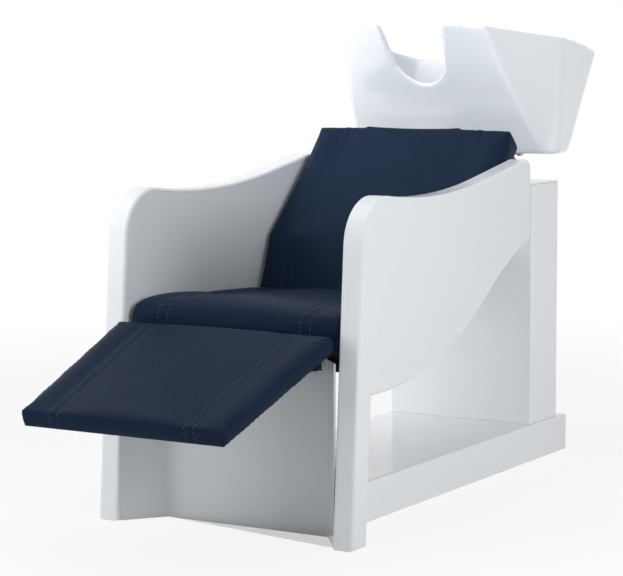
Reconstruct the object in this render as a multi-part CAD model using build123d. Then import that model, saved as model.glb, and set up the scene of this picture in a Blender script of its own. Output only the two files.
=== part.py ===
from build123d import *
import math
import os

# Hair washing bed: a seat tub between two moulded arm shells, a swinging legrest, and a
# tilting basin on a slab column. Millimetres, +Z up, the sitter faces -Y. The origin is on
# the floor at the centre of the footprint.

# Clearances
fit_gap = 0.3
running_gap = 0.05
seam_gap = 1.0
overrun = 20.0

# Plinth, the low box under everything
plinth_half_width = 186.0
plinth_rear_y = 600.0
plinth_height = 82.0
plinth_wall = 4.0
plinth_edge_radius = 5.0
base_plate_thickness = 8.0
base_plate_inset = 12.0
anchor_hole_radius = 5.5
anchor_half_spacing_x = 130.0
anchor_front_y = -420.0
anchor_rear_y = 540.0
service_half_width = 50.0
service_half_depth = 42.0

# Kick panel under the seat, with two slanted returns that meet the legs
panel_y = -513.0
panel_half_width = 185.0
panel_wall = 4.0
panel_return_y = -594.0
panel_return_gap = 0.5

# Arm shells: one outline for the leg, the arm and the swept lower edge
arm_inner_x = 246.0
arm_thickness = 46.0
arm_wall = 7.0
arm_skin = 5.0
arm_outer_fillet = 6.0
arm_inner_fillet = 4.0
leg_front_y = -602.0
leg_depth = 54.0
leg_lean_deg = 3.8
arm_corner_z = 667.0
arm_corner_radius = 95.0
arm_dip_y = (-430.0, -270.0, -40.0)
arm_dip_z = (654.0, 647.0, 668.0)
arm_rear_y = 168.0
arm_rear_z = 704.0
arm_rear_radius = 20.0
sweep_flat_z = 284.0
sweep_start_run = 102.0
sweep_radius = 818.0
sweep_turn_deg = 35.0
sweep_upper_bulge = 8.8
sweep_rear_z = 531.0
sweep_rear_radius = 8.0
liner_thickness = 4.0
dish_depth = 5.0
dish_front_y = -488.0
dish_low_z = 313.0
dish_mid_y = -218.0
dish_mid_z = 342.0
dish_rear_y = -2.0
dish_rear_z = 437.0
dish_top_y = -524.0
dish_fade_height = 230.0
dish_fade_length = 900.0
dish_corner_radius = 18.0

# Steel frame
tube = 30.0
tube_wall = 2.5
rail_x = 110.0
rail_top_z = 350.0
rail_rear_y = 60.0
front_tube_inset = 110.0
outrigger_y = -330.0
end_plate_thickness = 8.0
end_plate_half = 18.0
back_tube = 25.0
back_tube_y = 107.0
back_tube_z = 545.0
bolt_radius = 4.0
bolt_head_radius = 6.5
bolt_head_height = 5.0
bolt_grip = 26.0
block_half = 17.0

# Column, a slab across the back
column_half_width = 179.0
column_front_y = 413.0
column_rear_y = 557.0
column_top_z = 633.0
column_wall = 4.0
column_edge_radius = 3.0
column_post = 40.0
column_post_x = 100.0
column_post_y = 490.0
column_plate_thickness = 8.0
cap_thickness = 4.0
rear_panel_margin = 10.0
panel_screw_radius = 2.0
panel_screw_head_radius = 4.5
panel_screw_head_height = 2.0
panel_screw_length = 12.0
beam_rear_z = 540.0

# Bridge cover round the two beams from the seat to the column
bridge_wall = 3.5
bridge_side_gap = 1.0
bridge_under_gap = 2.0
bridge_height = 66.0
bridge_front_y = 70.0

# Seat
pad_half_width = 239.0
seat_pan_thickness = 16.0
seat_pan_inset = 10.0
seat_pan_front_y = -535.0
seat_station_y = (-566.0, -556.0, -530.0, -455.0, -345.0, -240.0)
seat_station_z = (418.0, 434.0, 444.0, 447.0, 435.0, 432.0)
seat_rear_z = 424.0
seat_crown = 5.0
pad_bulge = 3.0
seam_shares = (0.73, 0.64)
seam_depth = 1.2

# Backrest: front face from the bottom through the lumbar bend to the top edge
back_bottom_y = -101.0
back_bottom_z = 395.0
back_bend_y = -45.0
back_bend_z = 540.0
back_top_y = 170.0
back_top_z = 760.0
back_thickness = 65.0
back_board_thickness = 15.0
back_board_inset = 14.0
back_crown = 5.0
back_shell_half_width = 205.0
back_shell_wall = 4.0
upright_thickness = 25.0

# Legrest, in the raised pose that it is stored in
legrest_axis_y = -562.0
legrest_axis_z = 338.0
legrest_slope_deg = 19.6
legrest_start = 10.0
legrest_length = 355.0
legrest_rear_half_width = 241.0
legrest_front_half_width = 219.0
legrest_top = 72.5
legrest_thickness = 38.0
legrest_board_thickness = 12.0
legrest_board_inset = 10.0
legrest_crown = 3.0
hinge_x = 150.0
hinge_pin_radius = 6.0
hinge_eye_radius = 17.0
hinge_arm_thickness = 6.0
hinge_cheek_thickness = 4.0
hinge_washer_thickness = 1.2
hinge_washer_radius = 12.0
hinge_flange_half_width = 20.0
hinge_flange_start = 24.0
hinge_flange_length = 180.0
hinge_flange_thickness = 5.0
hinge_plate_thickness = 6.0
hinge_web_reach = 90.0

# Basin: half outlines in plan at three heights, from the front ear round to the back
basin_low_z = 701.0
basin_mid_rise = 149.0
basin_high_rise = 145.0
basin_low = ((80.0, 368.0), (232.0, 366.0), (262.0, 368.0), (254.0, 442.0), (205.0, 505.0), (100.0, 535.0))
basin_mid = ((80.0, 243.0), (202.0, 248.0), (271.0, 371.0), (262.0, 521.0), (221.0, 586.0), (100.0, 631.0))
basin_high = ((80.0, 152.0), (168.0, 174.0), (280.0, 373.0), (270.0, 600.0), (238.0, 668.0), (100.0, 728.0))
basin_corner_radius = 20.0
basin_wall = 15.0
rim_y = (100.0, 300.0, 440.0, 560.0, 760.0)
rim_drop = (-5.0, 26.0, 41.0, 64.0, 157.0)
notch_radius = 60.0
notch_drop = 134.0
notch_half_width = 80.0
notch_flare_drop = 10.0
ledge_x = 115.0
ledge_y = 545.0
ledge_drop = 100.0
ledge_thickness = 18.0

# Drain
drain_y = 470.0
drain_hole_radius = 20.0
drain_flange_radius = 30.0
drain_flange_thickness = 3.0
drain_throat_radius = 19.5
drain_throat_bore = 13.0
drain_seat_radius = 16.0
drain_throat_length = 34.0
strainer_radius = 15.0
strainer_slot_count = 8
strainer_slot_radius = 1.8
strainer_slot_ring_share = 0.6
strainer_height = 4.0
strainer_knob_radius = 4.0
strainer_knob_height = 8.0
locknut_radius = 27.0
locknut_height = 7.0
tail_radius = 17.0
tail_wall = 2.0
tail_low_z = 600.0
funnel_radius = 35.0
funnel_wall = 3.0
funnel_top_z = 612.0
funnel_low_z = 552.0
funnel_y = 468.0
waste_radius = 20.0
waste_wall = 3.0
waste_low_z = 3.0
pipe_plate_z = 300.0
pipe_plate_half_depth = 30.0
pipe_plate_thickness = 4.0

# Tilt joint between basin and column
tilt_y = 490.0
tilt_z = 668.0
tilt_ear_x = 84.0
tilt_ear_thickness = 6.0
tilt_eye_radius = 18.0
tilt_pin_radius = 6.0
tilt_base_thickness = 6.0
tilt_base_half_width = 116.0
tilt_base_front_y = 440.0
tilt_base_rear_y = 540.0
tilt_gate_half_width = 48.0
tilt_gate_rear_y = 520.0
basin_plate_thickness = 6.0
basin_plate_half_width = 120.0
basin_plate_front_y = 420.0
basin_plate_rear_y = 516.0
clamp_hub_radius = 13.0
clamp_hub_width = 16.0
clamp_arm_radius = 5.0
clamp_arm_length = 62.0
clamp_arm_deg = 12.0

# Mixer tap on the ledge of the basin
tap_side_inset = 50.0
tap_front_inset = 35.0
tap_base_radius = 22.0
tap_base_height = 4.0
tap_body_radius = 19.0
tap_body_height = 26.0
tap_shank_radius = 8.0
tap_shank_length = 32.0
tap_nut_radius = 16.0
tap_nut_clearance = 3.0
tap_nut_height = 6.0
tap_cap_radius = 18.0
tap_cap_height = 12.0
tap_lever_thickness = 5.0
tap_lever_width = 14.0
tap_lever_length = 62.0
tap_lever_gap = 0.5
tap_pivot_radius = 2.5
tap_eye_radius = 4.5
ferrule_side_gap = 43.0
ferrule_front_inset = 25.0
ferrule_radius = 14.0
ferrule_bore = 9.0
ferrule_flange = 3.0
ferrule_lip = 2.5

# Wood screws that hold the boards
screw_radius = 2.5
screw_head_radius = 5.0
screw_head_height = 2.0
screw_length = 14.0


def block(x0, x1, y0, y1, z0, z1):
    """Box between two opposite corners."""
    centre = Pos((x0 + x1) / 2, (y0 + y1) / 2, (z0 + z1) / 2)
    return centre * Box(x1 - x0, y1 - y0, z1 - z0)


def rod_x(y, z, radius, x0, x1):
    """Round bar along X."""
    return Pos((x0 + x1) / 2, y, z) * Rot(0, 90, 0) * Cylinder(radius, abs(x1 - x0))


def rod_y(x, z, radius, y0, y1):
    """Round bar along Y."""
    return Pos(x, (y0 + y1) / 2, z) * Rot(90, 0, 0) * Cylinder(radius, abs(y1 - y0))


def rod_z(x, y, radius, z0, z1):
    """Round bar along Z."""
    return Pos(x, y, (z0 + z1) / 2) * Cylinder(radius, abs(z1 - z0))


def slab_x(outline, x0, x1):
    """Solid between two x planes, from a closed outline drawn in y and z."""
    return extrude(Plane.YZ.offset(x0) * outline, amount=x1 - x0, dir=(1, 0, 0))


def slab_y(outline, y0, y1):
    """Solid between two y planes, from a closed outline drawn in x and z."""
    plane = Plane(origin=(0, y0, 0), x_dir=(1, 0, 0), z_dir=(0, -1, 0))
    return extrude(plane * outline, amount=y1 - y0, dir=(0, 1, 0))


def polygon(points):
    """Flat face through the points."""
    return make_face(Polyline(*points, close=True))


def mirrored(shape):
    """The other hand of a piece."""
    return mirror(shape, about=Plane.YZ)


def box_tube(x0, x1, y0, y1, z0, z1, wall, along):
    """Square tube between two corners, hollow along the named axis."""
    hollow = {
        "x": (x0, x1, y0 + wall, y1 - wall, z0 + wall, z1 - wall),
        "y": (x0 + wall, x1 - wall, y0, y1, z0 + wall, z1 - wall),
        "z": (x0 + wall, x1 - wall, y0 + wall, y1 - wall, z0, z1),
    }[along]
    return block(x0, x1, y0, y1, z0, z1) - block(*hollow)


# Values that several pieces share
arm_outer_x = arm_inner_x + arm_thickness
arm_pocket_x = arm_outer_x - dish_depth - arm_skin
sweep_start_y = leg_front_y + sweep_start_run
front_tube_y = leg_front_y + front_tube_inset
basin_mid_z = basin_low_z + basin_mid_rise
basin_high_z = basin_mid_z + basin_high_rise
ledge_z = basin_high_z - ledge_drop
tap_x = ledge_x + tap_side_inset
tap_y = ledge_y + tap_front_inset
ferrule_x = tap_x + ferrule_side_gap
ferrule_y = ledge_y + ferrule_front_inset
rail_low_z = rail_top_z - tube
tube_end_x = arm_inner_x - fit_gap - end_plate_thickness
post_y = front_tube_y + tube
post_low_z = base_plate_thickness
plinth_front_y = panel_y + panel_wall + fit_gap
panel_top_z = rail_top_z - seam_gap
housing_top_z = column_top_z - cap_thickness
plate_top_z = housing_top_z - column_wall
beam_front_z = rail_top_z - tube / 2
post_front_y = column_post_y - column_post / 2
beam_slope = (beam_rear_z - beam_front_z) / (post_front_y - rail_rear_y)
beam_half_z = tube / 2 * math.hypot(1, beam_slope)
back_dir = Vector(back_top_y - back_bend_y, back_top_z - back_bend_z).normalized()
lumbar_dir = Vector(back_bend_y - back_bottom_y, back_bend_z - back_bottom_z).normalized()


def arm_outline(inset):
    """Side view of an arm shell, drawn in from its edge by inset."""
    lean = math.tan(math.radians(leg_lean_deg))
    turn = math.radians(sweep_turn_deg)
    foot_front = (leg_front_y, 0)
    corner = (leg_front_y + lean * arm_corner_z, arm_corner_z)
    dip = [(y, z) for y, z in zip(arm_dip_y, arm_dip_z)]
    rear_top = (arm_rear_y, arm_rear_z)
    rear_low = (arm_rear_y, sweep_rear_z)
    sweep_top = (
        sweep_start_y + sweep_radius * math.sin(turn),
        sweep_flat_z + sweep_radius * (1 - math.cos(turn)),
    )
    sweep_mid = (
        sweep_start_y + sweep_radius * math.sin(turn / 2),
        sweep_flat_z + sweep_radius * (1 - math.cos(turn / 2)),
    )
    upper_mid = (
        (rear_low[0] + sweep_top[0]) / 2,
        (rear_low[1] + sweep_top[1]) / 2 + sweep_upper_bulge,
    )
    sweep_start = (sweep_start_y, sweep_flat_z)
    leg_rear_top = (leg_front_y + leg_depth + lean * sweep_flat_z, sweep_flat_z)
    foot_rear = (leg_front_y + leg_depth, 0)
    edges = [
        Line(foot_front, corner),
        Line(corner, dip[0]),
        ThreePointArc(*dip),
        Line(dip[-1], rear_top),
        Line(rear_top, rear_low),
        ThreePointArc(rear_low, upper_mid, sweep_top),
        ThreePointArc(sweep_top, sweep_mid, sweep_start),
        Line(sweep_start, leg_rear_top),
        Line(leg_rear_top, foot_rear),
        Line(foot_rear, foot_front),
    ]
    face = make_face(edges)
    for point, radius in (
        (corner, arm_corner_radius),
        (rear_top, arm_rear_radius),
        (rear_low, sweep_rear_radius),
    ):
        spot = Vector(*point)
        nearest = min(face.vertices(), key=lambda v: (Vector(v.X, v.Y) - spot).length)
        face = fillet(nearest, radius)
    if inset:
        face = offset(face, amount=-inset, kind=Kind.INTERSECTION)
    return face


def arm_anchor_points():
    """Side view places of the bolts that hold an arm shell to the frame."""
    rail_z = rail_top_z - tube / 2
    return [(front_tube_y, rail_z), (outrigger_y, rail_z), (back_tube_y, back_tube_z)]


def arm_dish():
    """Shallow dish in the outer face of the right arm shell, deepest in its low front corner."""
    corner = (dish_front_y, dish_low_z)
    front_top = (dish_top_y, dish_low_z + dish_fade_height)
    rear_low = (dish_rear_y, dish_rear_z)
    edges = [
        Line(corner, front_top),
        Line(front_top, (dish_rear_y, arm_rear_z)),
        Line((dish_rear_y, arm_rear_z), rear_low),
        ThreePointArc(rear_low, (dish_mid_y, dish_mid_z), corner),
    ]
    face = make_face(edges)
    nearest = min(face.vertices(), key=lambda v: (Vector(v.X, v.Y) - Vector(*corner)).length)
    face = fillet(nearest, dish_corner_radius)
    column = extrude(Plane.YZ.offset(arm_outer_x - dish_depth) * face, amount=dish_depth + overrun)
    slope = Vector(1, -dish_depth / dish_fade_length, -dish_depth / dish_fade_height)
    floor = Plane(origin=(arm_outer_x - dish_depth, *corner), z_dir=slope)
    reach = 2 * (arm_rear_y - leg_front_y)
    above = floor * Box(reach, reach, reach, align=(Align.CENTER, Align.CENTER, Align.MIN))
    return column & above


def side_shell():
    """Right arm shell: a moulded tray, open to the inside, with a shallow dish in its outer face."""
    body = slab_x(arm_outline(0), arm_inner_x, arm_outer_x)
    outer = body.edges().filter_by_position(Axis.X, arm_outer_x - fit_gap, arm_outer_x + fit_gap)
    body = fillet(outer, arm_outer_fillet)
    inner = body.edges().filter_by_position(Axis.X, arm_inner_x - fit_gap, arm_inner_x + fit_gap)
    body = fillet(inner, arm_inner_fillet)
    hollow = slab_x(arm_outline(arm_wall), arm_inner_x - overrun, arm_pocket_x)
    return body - arm_dish() - hollow


def side_liner():
    """Panel that closes the tray of the right arm shell."""
    panel = slab_x(arm_outline(arm_wall + fit_gap), arm_inner_x, arm_inner_x + liner_thickness)
    for y, z in arm_anchor_points():
        panel -= rod_x(y, z, bolt_radius + fit_gap, arm_inner_x - overrun, arm_outer_x)
    return panel


def side_blocks():
    """Hardwood blocks inside the right arm shell, one at each frame bolt."""
    x0 = arm_inner_x + liner_thickness
    x1 = arm_pocket_x
    blocks = []
    for y, z in arm_anchor_points():
        body = block(x0, x1, y - block_half, y + block_half, z - block_half, z + block_half)
        blocks.append(body - rod_x(y, z, bolt_radius, x0 - overrun, x0 + bolt_grip))
    return blocks


def side_bolts():
    """Bolts from the frame's end plates into the blocks of the right arm shell."""
    x0 = tube_end_x
    bolts = []
    for y, z in arm_anchor_points():
        head = rod_x(y, z, bolt_head_radius, x0 - bolt_head_height, x0)
        shank = rod_x(y, z, bolt_radius, x0, arm_inner_x + liner_thickness + bolt_grip)
        bolts.append(head + shank)
    return bolts


def end_plate(y, z):
    """Plate on the right end of a cross tube, with its bolt hole."""
    x0 = tube_end_x
    x1 = tube_end_x + end_plate_thickness
    half = end_plate_half
    plate = block(x0, x1, y - half, y + half, z - half, z + half)
    return plate - rod_x(y, z, bolt_radius + running_gap, x0 - overrun, x1 + overrun)


def cross_tube(y, z, size):
    """Square tube from arm to arm with an end plate on each end."""
    half = size / 2
    inner = box_tube(-tube_end_x, tube_end_x, y - half, y + half, z - half, z + half, tube_wall, "x")
    plate = end_plate(y, z)
    return inner + plate + mirrored(plate)


def front_cross_tube():
    """Cross tube under the front of the seat, which carries the legrest hinges."""
    return cross_tube(front_tube_y, rail_top_z - tube / 2, tube)


def back_cross_tube():
    """Cross tube behind the backrest."""
    return cross_tube(back_tube_y, back_tube_z, back_tube)


def outrigger():
    """Short tube from the right seat rail out to the arm shell."""
    y = outrigger_y
    z = rail_top_z - tube / 2
    half = tube / 2
    x0 = rail_x + tube / 2
    body = box_tube(x0, tube_end_x, y - half, y + half, z - half, z + half, tube_wall, "x")
    return body + end_plate(y, z)


def seat_rail():
    """Right rail under the seat pan."""
    y0 = front_tube_y + tube / 2
    half = tube / 2
    rail = box_tube(rail_x - half, rail_x + half, y0, rail_rear_y, rail_low_z, rail_top_z, tube_wall, "y")
    for x, y in seat_screw_points():
        rail -= rod_z(x, y, screw_radius + running_gap, rail_low_z - overrun, rail_top_z + overrun)
    return rail


def front_post():
    """Right post from the base plate to the seat rail, behind the kick panel."""
    half = tube / 2
    return box_tube(rail_x - half, rail_x + half, post_y - half, post_y + half, post_low_z, rail_low_z, tube_wall, "z")


def beam_z(y):
    """Centre height of the sloping beams at y."""
    return beam_front_z + beam_slope * (y - rail_rear_y)


def bridge_beam():
    """Right sloping tube from the seat rail to the column post."""
    half = tube / 2
    wall_z = tube_wall * math.hypot(1, beam_slope)

    def strip(reach):
        return polygon([
            (rail_rear_y, beam_z(rail_rear_y) - reach),
            (post_front_y, beam_z(post_front_y) - reach),
            (post_front_y, beam_z(post_front_y) + reach),
            (rail_rear_y, beam_z(rail_rear_y) + reach),
        ])

    body = slab_x(strip(beam_half_z), rail_x - half, rail_x + half)
    bore = slab_x(strip(beam_half_z - wall_z), rail_x - half + tube_wall, rail_x + half - tube_wall)
    return body - bore


def bridge_cover():
    """Moulded sleeve round the two beams, from under the seat to the column."""
    y0 = bridge_front_y
    y1 = column_front_y - fit_gap
    low = beam_half_z + bridge_under_gap + bridge_wall
    half = rail_x + tube / 2 + bridge_side_gap + bridge_wall

    def strip(wall):
        return polygon([
            (y0, beam_z(y0) - low + wall),
            (y1, beam_z(y1) - low + wall),
            (y1, beam_z(y1) - low + bridge_height - wall),
            (y0, beam_z(y0) - low + bridge_height - wall),
        ])

    body = slab_x(strip(0), -half, half)
    return body - slab_x(strip(bridge_wall), bridge_wall - half, half - bridge_wall)


def base_plate():
    """Flat steel foot with four anchor holes and the opening for pipes."""
    half = plinth_half_width - plinth_wall - base_plate_inset
    y0 = plinth_front_y + plinth_wall + base_plate_inset
    y1 = plinth_rear_y - plinth_wall - base_plate_inset
    plate = block(-half, half, y0, y1, 0, base_plate_thickness)
    for x in (-anchor_half_spacing_x, anchor_half_spacing_x):
        for y in (anchor_front_y, anchor_rear_y):
            plate -= rod_z(x, y, anchor_hole_radius, -overrun, base_plate_thickness + overrun)
    return plate - block(
        -service_half_width, service_half_width,
        drain_y - service_half_depth, drain_y + service_half_depth,
        -overrun, base_plate_thickness + overrun,
    )


def plinth_cover():
    """Moulded box over the base plate, open below, with gates for the posts."""
    outer = block(-plinth_half_width, plinth_half_width, plinth_front_y, plinth_rear_y, 0, plinth_height)
    outer = fillet(outer.edges().filter_by(Axis.Z), plinth_edge_radius)
    top = outer.edges().group_by(Axis.Z)[-1]
    outer = fillet(top, plinth_edge_radius - fit_gap)
    inner = block(
        plinth_wall - plinth_half_width, plinth_half_width - plinth_wall,
        plinth_front_y + plinth_wall, plinth_rear_y - plinth_wall,
        -overrun, plinth_height - plinth_wall,
    )
    cover = outer - inner
    half = tube / 2 + seam_gap
    for x in (-rail_x, rail_x):
        cover -= block(x - half, x + half, post_y - half, post_y + half, 0, plinth_height + overrun)
    gate_x = column_post_x + column_post / 2 + seam_gap
    return cover - block(
        -gate_x, gate_x,
        drain_y - service_half_depth, column_post_y + column_post / 2 + seam_gap,
        0, plinth_height + overrun,
    )


def front_panel():
    """Kick panel with a slanted return on each side and a notch for each hinge bracket."""
    return_x = arm_inner_x - panel_return_gap
    outline = [
        (-return_x, panel_return_y),
        (-panel_half_width, panel_y),
        (panel_half_width, panel_y),
        (return_x, panel_return_y),
        (return_x, panel_return_y + panel_wall * 2),
        (panel_half_width, panel_y + panel_wall),
        (-panel_half_width, panel_y + panel_wall),
        (-return_x, panel_return_y + panel_wall * 2),
    ]
    panel = extrude(polygon(outline), amount=panel_top_z)
    half = hinge_flange_half_width + seam_gap
    for x in (-hinge_x, hinge_x):
        panel -= block(x - half, x + half, panel_return_y, front_tube_y, rail_low_z - seam_gap, rail_top_z)
    return panel


def column_post_tube():
    """Right upright of the column."""
    half = column_post / 2
    return box_tube(
        column_post_x - half, column_post_x + half,
        column_post_y - half, column_post_y + half,
        base_plate_thickness, plate_top_z - column_plate_thickness, tube_wall, "z",
    )


def column_top_plate():
    """Steel plate on the two posts, open in front for the drain."""
    half = column_post_x + column_post / 2
    y0 = column_front_y + column_wall + seam_gap
    y1 = column_rear_y - column_wall * 2 - seam_gap
    plate = block(-half, half, y0, y1, plate_top_z - column_plate_thickness, plate_top_z)
    return plate - block(
        -tilt_gate_half_width, tilt_gate_half_width,
        y0 - overrun, tilt_gate_rear_y,
        0, plate_top_z + overrun,
    )


def column_housing():
    """Moulded casing of the column, open at the back, with slots for the beams."""
    y0 = column_front_y
    y1 = column_rear_y
    outer = block(-column_half_width, column_half_width, y0, y1, plinth_height, housing_top_z)
    outer = fillet(outer.edges().filter_by(Axis.Z), column_edge_radius)
    inner_half = column_half_width - column_wall
    inner = block(-inner_half, inner_half, y0 + column_wall, y1 + overrun, 0, housing_top_z + overrun)
    casing = outer - inner
    half = tube / 2 + seam_gap
    low = beam_z(y0) - beam_half_z - seam_gap
    high = beam_z(y0 + column_wall) + beam_half_z + seam_gap
    for x in (-rail_x, rail_x):
        casing -= block(x - half, x + half, y0 - overrun, y0 + column_wall + overrun, low, high)
    return casing


def column_cap():
    """Lid of the column, with a gate for the drain and the tilt bracket."""
    lid = block(
        -column_half_width, column_half_width,
        column_front_y, column_rear_y,
        housing_top_z, column_top_z,
    )
    lid = fillet(lid.edges().filter_by(Axis.Z), column_edge_radius)
    half = tilt_base_half_width + seam_gap
    return lid - block(
        -half, half,
        tilt_base_front_y - seam_gap, tilt_base_rear_y + seam_gap,
        0, column_top_z + overrun,
    )


def rear_panel_face():
    """Half width, low z and high z of the access panel."""
    half = column_half_width - column_wall - fit_gap
    return half, plinth_height + fit_gap, housing_top_z - fit_gap


def rear_screw_points():
    """Places of the screws of the access panel."""
    half, low, high = rear_panel_face()
    inset = rear_panel_margin
    return [(x, z) for x in (inset - half, half - inset) for z in (low + inset, (low + high) / 2, high - inset)]


def rear_access_panel():
    """Panel that closes the back of the column."""
    half, low, high = rear_panel_face()
    y1 = column_rear_y
    y0 = y1 - column_wall
    panel = block(-half, half, y0, y1, low, high)
    for x, z in rear_screw_points():
        panel -= rod_y(x, z, panel_screw_radius + running_gap, y0 - overrun, y1 + overrun)
    return panel


def rear_screw_bars():
    """Two strips inside the column that the access panel is screwed to."""
    half, low, high = rear_panel_face()
    y1 = column_rear_y - column_wall
    y0 = y1 - column_wall * 2
    bars = []
    for side in (-1, 1):
        x0 = side * (half - rear_panel_margin * 2)
        x1 = side * half
        bar = block(min(x0, x1), max(x0, x1), y0, y1, low, high)
        for x, z in rear_screw_points():
            bar -= rod_y(x, z, panel_screw_radius, y0 - overrun, y1 + overrun)
        bars.append(bar)
    return bars


def rear_panel_screws():
    """Screws of the access panel."""
    screws = []
    for x, z in rear_screw_points():
        head = rod_y(x, z, panel_screw_head_radius, column_rear_y, column_rear_y + panel_screw_head_height)
        shank = rod_y(x, z, panel_screw_radius, column_rear_y - panel_screw_length, column_rear_y)
        screws.append(head + shank)
    return screws


def pad_section(plane, half_width, thickness, crown, bulge):
    """Cross-section of a pad: flat below, sides that swell, a crowned top and its sewn channels."""
    edge = half_width - bulge
    shoulder = thickness - crown
    seams = [half_width * share for share in seam_shares]
    columns = [edge] + seams + [-x for x in seams[::-1]] + [-edge]

    def top(x):
        return thickness - crown * (x / edge) ** 2

    marks = [(x, top(x) - (seam_depth if abs(x) < edge else 0)) for x in columns]
    edges = [
        Line((-edge, 0), (edge, 0)),
        ThreePointArc((edge, 0), (half_width, shoulder / 2), (edge, shoulder)),
    ]
    for near, far in zip(marks, marks[1:]):
        middle = (near[0] + far[0]) / 2
        edges.append(ThreePointArc(near, (middle, top(middle)), far))
    edges.append(ThreePointArc((-edge, shoulder), (-half_width, shoulder / 2), (-edge, 0)))
    return plane * make_face(edges)


def lumbar_offset(depth):
    """Backrest line at a depth behind its front face: bottom, bend and top points."""
    low_normal = Vector(lumbar_dir.Y, -lumbar_dir.X)
    high_normal = Vector(back_dir.Y, -back_dir.X)
    half_turn = low_normal.get_angle(high_normal) / 2
    middle = (low_normal + high_normal).normalized()
    bottom = Vector(back_bottom_y, back_bottom_z) + low_normal * depth
    bend = Vector(back_bend_y, back_bend_z) + middle * (depth / math.cos(math.radians(half_turn)))
    top = Vector(back_top_y, back_top_z) + high_normal * depth
    return bottom, bend, top


def lumbar_strip(near, far, bottom_trim, top_trim):
    """Side view of a layer of the backrest between two depths."""
    near_points = lumbar_offset(near)
    far_points = lumbar_offset(far)

    def trimmed(points):
        bottom, bend, top = points
        return [bottom + lumbar_dir * bottom_trim, bend, top - back_dir * top_trim]

    outline = trimmed(near_points) + trimmed(far_points)[::-1]
    return polygon([(p.X, p.Y) for p in outline])


def seat_pan():
    """Board that carries the seat cushion."""
    upright_front = lumbar_offset(back_thickness)[0]
    lumbar_run = lumbar_dir.X / lumbar_dir.Y
    rear = upright_front.X + (rail_top_z - upright_front.Y) * lumbar_run - seam_gap
    half = pad_half_width - seat_pan_inset
    board = block(-half, half, seat_pan_front_y, rear, rail_top_z + fit_gap, rail_top_z + seat_pan_thickness)
    for x, y in seat_screw_points():
        board -= rod_z(x, y, screw_radius, rail_top_z - overrun, rail_top_z + screw_length)
    return board


def seat_screw_points():
    """Places of the screws through the rails into the seat pan."""
    margin = tube
    return [(x, y) for x in (-rail_x, rail_x) for y in (post_y + margin, outrigger_y + margin)]


def seat_cushion():
    """Seat pad with a rolled front, a dip for the sitter and its back cut along the backrest."""
    low = rail_top_z + seat_pan_thickness + fit_gap
    stations = list(zip(seat_station_y, seat_station_z)) + [(back_bend_y, seat_rear_z)]
    sections = []
    for y, z in stations:
        plane = Plane(origin=(0, y, low), x_dir=(1, 0, 0), z_dir=(0, -1, 0))
        sections.append(pad_section(plane, pad_half_width, z - low, seat_crown, pad_bulge))
    pad = loft(sections, ruled=True)
    run = lumbar_dir.X / lumbar_dir.Y
    reach = back_top_z - back_bottom_z
    y0 = back_bottom_y - seam_gap
    behind = polygon([
        (y0 - reach * run, back_bottom_z - reach),
        (y0 + reach * run, back_bottom_z + reach),
        (y0 + reach * 2, back_bottom_z + reach),
        (y0 + reach * 2, back_bottom_z - reach),
    ])
    return pad - slab_x(behind, -arm_outer_x, arm_outer_x)


def backrest_cushion():
    """Backrest pad, crowned in front, with a pocket behind for its board."""
    bottom, bend, top = lumbar_offset(back_thickness)
    half_turn = (lumbar_dir + back_dir).normalized()
    stations = [
        (bottom, lumbar_dir, back_thickness),
        (bend, half_turn, (bend - Vector(back_bend_y, back_bend_z)).length),
        (top, back_dir, back_thickness),
    ]
    sections = []
    for point, direction, thickness in stations:
        plane = Plane(
            origin=(0, point.X, point.Y),
            x_dir=(1, 0, 0),
            z_dir=(0, -direction.X, -direction.Y),
        )
        sections.append(pad_section(plane, pad_half_width, thickness, back_crown, pad_bulge))
    pad = loft(sections, ruled=True)
    pocket = lumbar_strip(
        back_thickness - back_board_thickness - fit_gap, back_thickness + overrun,
        back_board_inset - fit_gap, back_board_inset - fit_gap,
    )
    half = pad_half_width - back_board_inset + fit_gap
    return pad - slab_x(pocket, -half, half)


def back_screw_points():
    """Distances along the upper backrest of the screws into its board."""
    length = (Vector(back_top_y, back_top_z) - Vector(back_bend_y, back_bend_z)).length
    return [length / 4, length * 3 / 4]


def back_screw_place(x, run, depth):
    """Location of a back screw, its axis square to the board."""
    normal = Vector(back_dir.Y, -back_dir.X)
    point = lumbar_offset(back_thickness)[1] + back_dir * run + normal * (depth - back_thickness)
    return Plane(
        origin=(x, point.X, point.Y),
        x_dir=(1, 0, 0),
        z_dir=(0, back_dir.Y, -back_dir.X),
    )


def backrest_board():
    """Board inside the backrest pad."""
    strip = lumbar_strip(
        back_thickness - back_board_thickness, back_thickness, back_board_inset, back_board_inset
    )
    half = pad_half_width - back_board_inset
    board = slab_x(strip, -half, half)
    for x in (-rail_x, rail_x):
        for run in back_screw_points():
            place = back_screw_place(x, run, back_thickness)
            board -= place * Cylinder(screw_radius, screw_length * 2)
    return board


def back_upright():
    """Right bent bar behind the backrest board, welded to the seat rail."""
    depth = back_thickness
    bottom, bend, top = lumbar_offset(depth)
    drop = (bottom.Y - rail_top_z) / lumbar_dir.Y
    strip = lumbar_strip(depth, depth + upright_thickness, -drop - upright_thickness, back_board_inset * 2)
    half = upright_thickness / 2
    bar = slab_x(strip, rail_x - half, rail_x + half)
    below = block(
        rail_x - tube, rail_x + tube, -arm_rear_z, arm_rear_z, rail_top_z - arm_rear_z, rail_top_z
    )
    bar -= below
    for run in back_screw_points():
        place = back_screw_place(rail_x, run, back_thickness)
        bar -= place * Cylinder(screw_radius + running_gap, upright_thickness * 3)
    size = back_tube / 2
    return bar - block(
        rail_x - tube, rail_x + tube,
        back_tube_y - size, back_tube_y + size,
        back_tube_z - size, back_tube_z + size,
    )


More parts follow.
